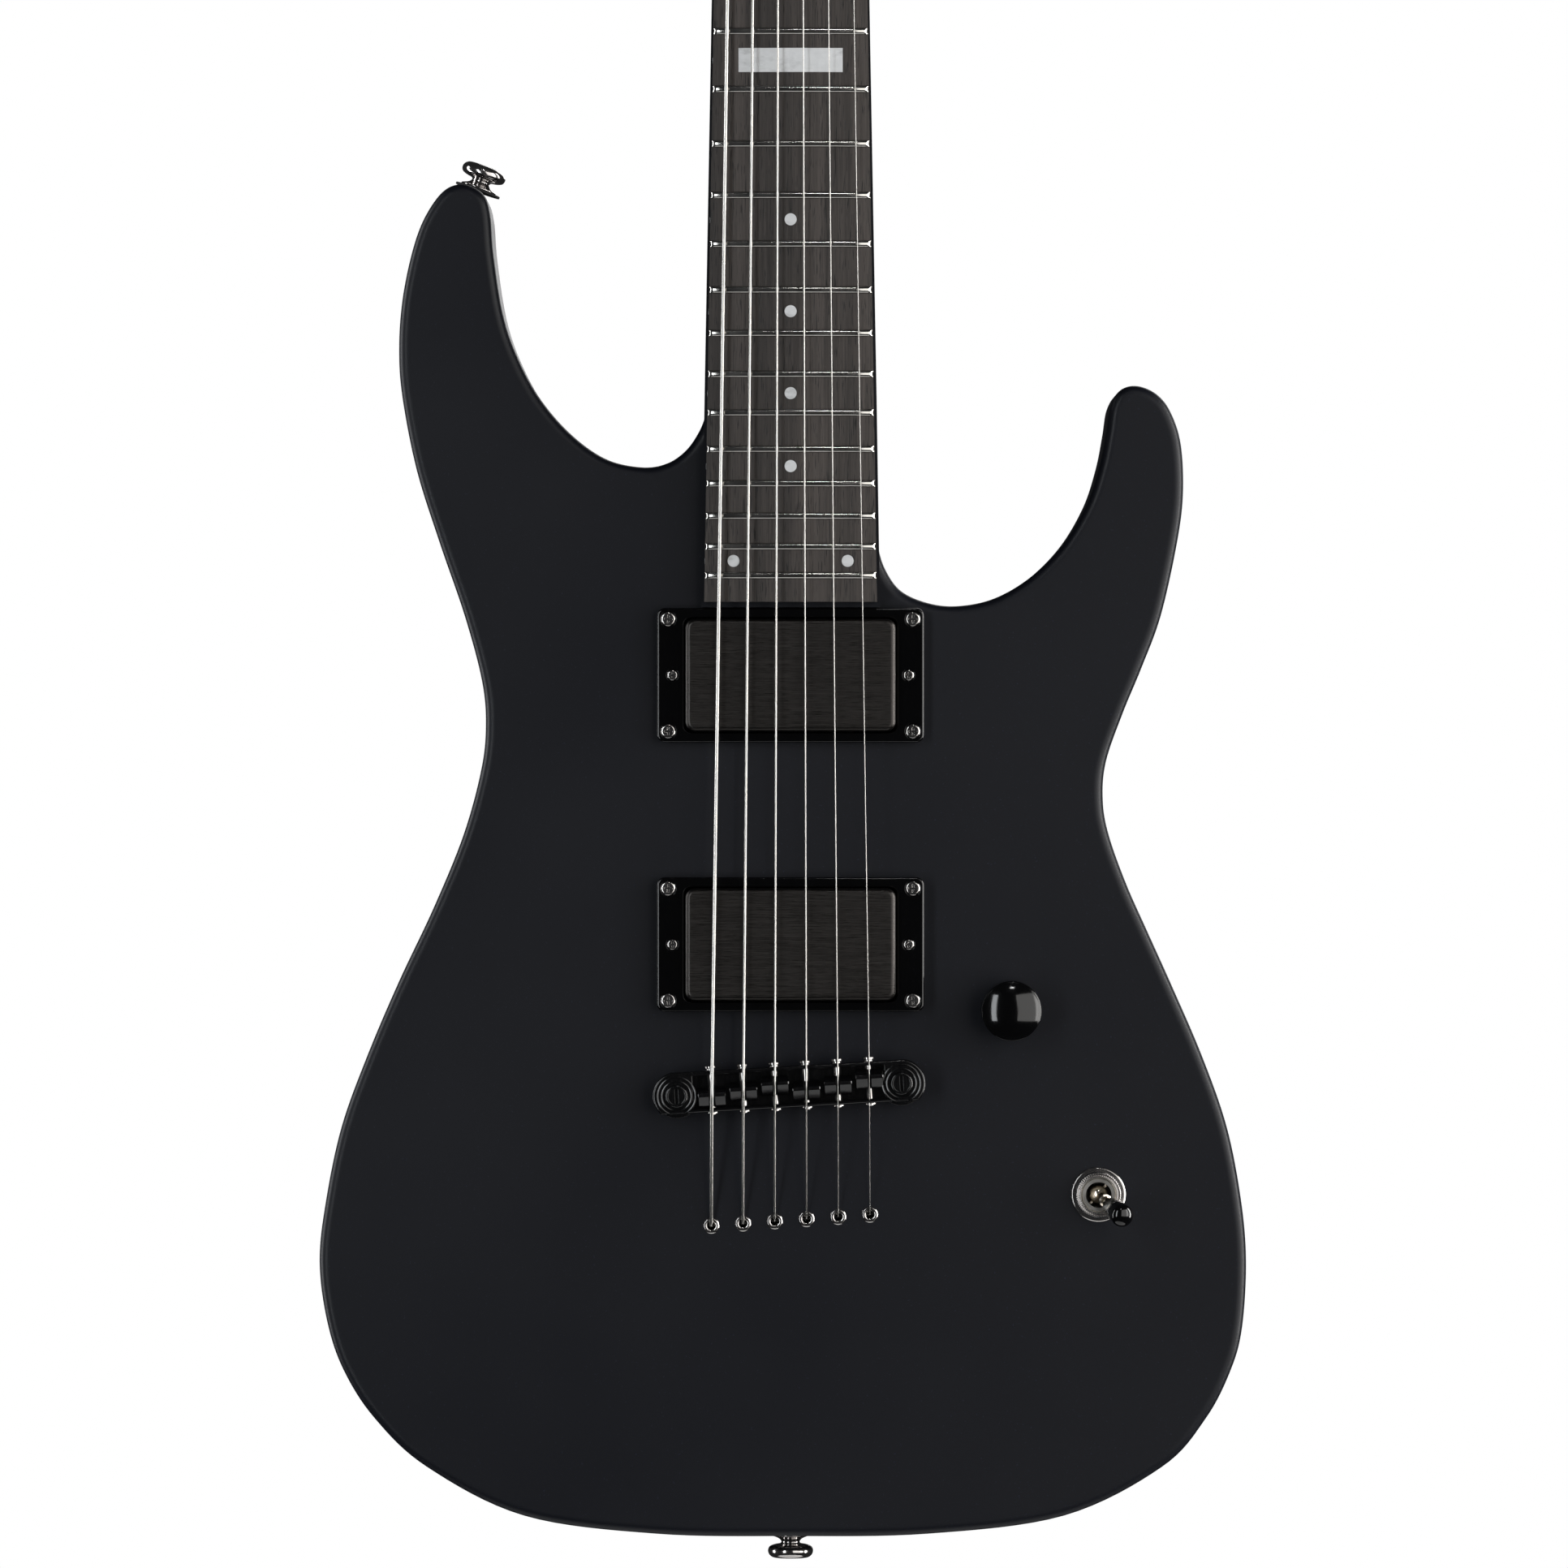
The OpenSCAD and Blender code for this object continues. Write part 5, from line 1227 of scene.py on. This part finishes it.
class GUITAR_OT_controls(bpy.types.Operator):
    """Volume knob, switch, output jack and what is behind them in the cavity"""

    bl_idname = "guitar.controls"
    bl_label = "Controls"

    def execute(self, _context):
        add_piece("knob", "knob", "black_plastic", knob_shape(), ["volume_knob"], 40)
        pot_nut = nut_at(move(KNOB[0], TOP_Y - 0.66, KNOB[1]) @ turn(X, -90), 12.7, 4.8, 2)
        add_piece("switch_nut", "root", "black_nickel", switch_nut_shape(), ["mounting_nuts"])
        add_piece("switch_bushing", "root", "nickel", switch_well_shape())
        add_piece("pot_nut", "root", "nickel", pot_nut)
        washer = ease([(4.9, 0.03), (9.5, 0.03), (9.5, 0.8), (9, 1), (4.9, 1)], 0.15, 2, closed=True)
        jack_nut = place(JACK @ move(0, 0, 1.04) @ turn(X, 90),
                         slab(ease(circle(7.25, sides=6), 0.5, 2, closed=True), -2.4, 0, 0.4,
                              [(circle(4.8), None, 0.3)]))
        jack_trim = join(place(JACK, lathe(washer, closed=True)), jack_nut)
        add_piece("jack_washer_and_nut", "root", "black_nickel", jack_trim)
        add_piece("lever", "switch", "nickel", lever_shape(), ["switch_lever"], 40)
        add_piece("tip", "switch", "black_plastic", tip_shape(), ["switch_tip"], 40)
        dress("nickel", "output_jack")
        dress("steel", "pot_shaft", "volume_pot", "switch_frame")
        dress("battery_case", "battery")
        dress("lead_rubber", "wiring")
        return {"FINISHED"}


class GUITAR_OT_cover(bpy.types.Operator):
    """Cover of the control cavity and the small cover screws"""

    bl_idname = "guitar.cover"
    bl_label = "Back cover"

    def execute(self, _context):
        back, front = BACK_Y - 0.1, BACK_Y - RECESS_DEPTH + 0.3
        outline = cavity_outline(RECESS_RIM - 0.3)
        side, low, high = wall(outline, front, back, 0.1, 0.4)
        parts, lows, highs = [side], [low], [high]
        for x, z in COVER_SCREWS:
            seat, bore, step = circle(2.6, x, z, 32), circle(1.3, x, z, 32), BACK_Y - SCREW_SINK
            parts += [wall(seat, step, back, 0, 0)[0], wall(bore, front, step, 0, 0)[0], face(step, seat, bore)]
            lows.append(bore)
            highs.append(seat)
        cover = join(*parts, face(front, *lows), face(back, *highs))
        add_piece("back_cover", "root", "black_plastic", cover, ["control_cover"])
        screws = []
        for x, z in COVER_SCREWS:
            seat = move(x, BACK_Y - SCREW_SINK + 0.05, z) @ turn(X, 180) @ turn(Y, 40 * x)
            screws.append(place(seat, screw_head(2.4, 1.05, 0.5, 2.4, 0.5, 0.7), shank(1.1, 11)))
        for x, z in ROD_COVER_SCREWS:
            seat = HEAD @ move(x, -2.05, z) @ turn(Y, 25 * z)
            screws.append(place(seat, screw_head(2, 0.95, 0.45, 2.2, 0.5, 0.6), shank(0.85, 9)))
        add_piece("small_screws", "root", "black_nickel", join(*screws), ["cover_screws"])
        return {"FINISHED"}


class GUITAR_OT_tuners(bpy.types.Operator):
    """Six tuners: housings, bushings, screws, buttons and posts"""

    bl_idname = "guitar.tuners"
    bl_label = "Tuners"

    def execute(self, _context):
        for name, shape_of, node in (("tuner_boxes", housing_shape, "tuner_housings"),
                                     ("tuner_collars", bushing_shape, "tuner_bushings")):
            add_piece(name, "root", "black_nickel", join(*map(shape_of, STRINGS)), [node])
        screws = []
        for i in STRINGS:
            seat = post_frame(i) @ move(9.4, HEAD_T + 2.05, 7.8) @ turn(X, 180)
            screws.append(place(seat, screw_head(2, 1.15, 0.5, 2.4, 0.5, 0.7)))
        add_piece("tuner_box_screws", "root", "black_nickel", join(*screws), ["tuner_screws"])
        for i in STRINGS:
            n = i + 1
            add_piece(f"button_{n}", f"button_{n}", "black_nickel", button_shape(i), [f"tuner_button_{n}"], 40)
            add_piece(f"post_{n}", f"post_{n}", "black_nickel", tuner_post_shape(i), [f"tuner_post_{n}"])
        return {"FINISHED"}


class GUITAR_OT_straps(bpy.types.Operator):
    """Strap buttons with their screws and felt washers"""

    bl_idname = "guitar.straps"
    bl_label = "Strap buttons"

    def execute(self, _context):
        felt = ease([(2.1, 0.02), (7.8, 0.02), (7.8, FELT_T - 0.02), (2.1, FELT_T - 0.02)], 0.2, 2, closed=True)
        add_piece("strap_pegs", "root", "black_nickel", join(*map(strap_shape, STRAPS)), ["strap_buttons"], 40)
        screws = join(*map(strap_screw_shape, STRAPS))
        add_piece("strap_peg_screws", "root", "black_nickel", screws, ["strap_screws"])
        add_piece("felt_washers", "root", "felt", join(*[place(m, lathe(felt, closed=True)) for m in STRAPS]),
                  ["strap_felts"])
        return {"FINISHED"}


class GUITAR_OT_stage(bpy.types.Operator):
    """Pale floor, studio light and the camera"""

    bl_idname = "guitar.stage"
    bl_label = "Stage"

    def execute(self, context):
        stage = context.scene.guitar_stage
        add_floor(stage.floor_z)
        set_world(stage.fill)
        aim = Vector((0, 0, stage.view_z))
        for name, place_at, size, power, colour in [
            ("left_softbox", (-0.95, -1.55, 0.35), (0.35, 1.7), 13, (0.93, 0.97, 1.0)),
            ("left_rim", (-1.6, 0.1, 0.4), (0.3, 1.8), 24, (0.96, 0.98, 1.0)),
            ("right_softbox", (1.2, -1.7, 0.4), (1.7, 2.0), 20, (1.0, 0.985, 0.96)),
            ("right_key", (1.75, -1.05, 0.4), (0.55, 1.8), 13, (1.0, 0.99, 0.97)),
            ("right_rim", (1.6, -0.15, 0.4), (0.35, 1.8), 34, (1.0, 0.99, 0.97)),
            ("top_softbox", (0.15, -1.5, 1.7), (0.24, 0.06), 1.6, (1, 1, 1)),
            ("back_softbox", (0.9, 2.2, 1.3), (1.6, 1.6), 22, (1, 1, 1)),
        ]:
            add_softbox(name, Vector(place_at), size, power, colour, aim)
        lens = bpy.data.cameras.new("camera")
        lens.sensor_width = 36
        lens.lens = lens.sensor_width * stage.camera_distance / stage.view_width
        camera = bpy.data.objects.new("camera", lens)
        camera.location = (stage.view_x, HEEL_Y * MM - stage.camera_distance, stage.view_z)
        camera.rotation_euler = (math.pi / 2, 0, 0)
        context.scene.collection.objects.link(camera)
        context.scene.camera = camera
        context.scene.view_settings.view_transform = "Standard"
        return {"FINISHED"}


def add_floor(height):
    """Round floor: a disc, r = R s for s from 0 to 1, whose edge dips by 4 cm as s to the power 12."""
    s = np.linspace(0, 1, 24)[:, None]
    t = np.linspace(0, 2 * math.pi, 96, endpoint=False)[None, :]
    radius, dip = 560, 40
    level = height / MM - dip * s**12 + 0 * t
    points = np.stack([radius * s * np.cos(t), radius * s * np.sin(t), level], axis=-1)
    disc = surface(points)
    mesh = bpy.data.meshes.new("floor")
    mesh.from_pydata(disc.points * MM, [], disc.quads.tolist())
    mesh.validate()
    floor = bpy.data.objects.new("floor", mesh)
    paper = Finish("floor", (0.86, 0.86, 0.86), 0.8)
    paper.colours(paper.noise((40, 40, 40), 2.0), (0.3, (0.84, 0.84, 0.84)), (0.7, (0.88, 0.88, 0.88)))
    mesh.materials.append(paper.material)
    bpy.context.scene.collection.objects.link(floor)


def set_world(fill):
    """A white surround to look at, and a dimmer one to light the guitar."""
    world = bpy.data.worlds.new("studio")
    world.use_nodes = True
    nodes, links = world.node_tree.nodes, world.node_tree.links
    seen = nodes["Background"]
    seen.inputs["Color"].default_value = (1, 1, 1, 1)
    lit = nodes.new("ShaderNodeBackground")
    lit.inputs["Color"].default_value = (0.93, 0.96, 1, 1)
    lit.inputs["Strength"].default_value = fill
    mix = nodes.new("ShaderNodeMixShader")
    path = nodes.new("ShaderNodeLightPath")
    links.new(path.outputs["Is Camera Ray"], mix.inputs["Fac"])
    links.new(lit.outputs[0], mix.inputs[1])
    links.new(seen.outputs[0], mix.inputs[2])
    links.new(mix.outputs[0], nodes["World Output"].inputs["Surface"])
    bpy.context.scene.world = world


def add_softbox(name, place_at, size, power, colour, aim):
    lamp = bpy.data.lights.new(name, "AREA")
    lamp.shape = "RECTANGLE"
    lamp.size, lamp.size_y = size
    lamp.energy = power
    lamp.color = colour
    softbox = bpy.data.objects.new(name, lamp)
    softbox.location = place_at
    softbox.rotation_euler = (aim - place_at).to_track_quat("-Z", "Y").to_euler()
    softbox.visible_camera = False
    bpy.context.scene.collection.objects.link(softbox)


OPERATORS = [
    GUITAR_OT_stage, GUITAR_OT_body, GUITAR_OT_neck, GUITAR_OT_fretboard, GUITAR_OT_strings, GUITAR_OT_pickups,
    GUITAR_OT_bridge, GUITAR_OT_controls, GUITAR_OT_cover, GUITAR_OT_tuners, GUITAR_OT_straps,
]
GROUPS = {"guitar_finishes": GuitarFinishes, "guitar_sizes": GuitarSizes, "guitar_stage": GuitarStage}


class GUITAR_PT_panel(bpy.types.Panel):
    """Sizes, colours and the pieces to build"""

    bl_idname = "GUITAR_PT_panel"
    bl_label = "Electric Guitar"
    bl_space_type = "VIEW_3D"
    bl_region_type = "UI"
    bl_category = "Guitar"

    def draw(self, context):
        for group_name, group in GROUPS.items():
            column = self.layout.column(align=True)
            for key in group.__annotations__:
                column.prop(getattr(context.scene, group_name), key)
        column = self.layout.column(align=True)
        for operator in OPERATORS:
            column.operator(operator.bl_idname)


def register():
    for group_name, group in GROUPS.items():
        bpy.utils.register_class(group)
        setattr(bpy.types.Scene, group_name, bpy.props.PointerProperty(type=group))
    for item in [*OPERATORS, GUITAR_PT_panel]:
        bpy.utils.register_class(item)


def unregister():
    for item in [GUITAR_PT_panel, *reversed(OPERATORS)]:
        bpy.utils.unregister_class(item)
    for group_name, group in GROUPS.items():
        delattr(bpy.types.Scene, group_name)
        bpy.utils.unregister_class(group)


def main():
    register()
    for operator in OPERATORS:
        group, name = operator.bl_idname.split(".")
        getattr(getattr(bpy.ops, group), name)()
    bpy.context.view_layer.update()


if __name__ == "__main__":
    main()
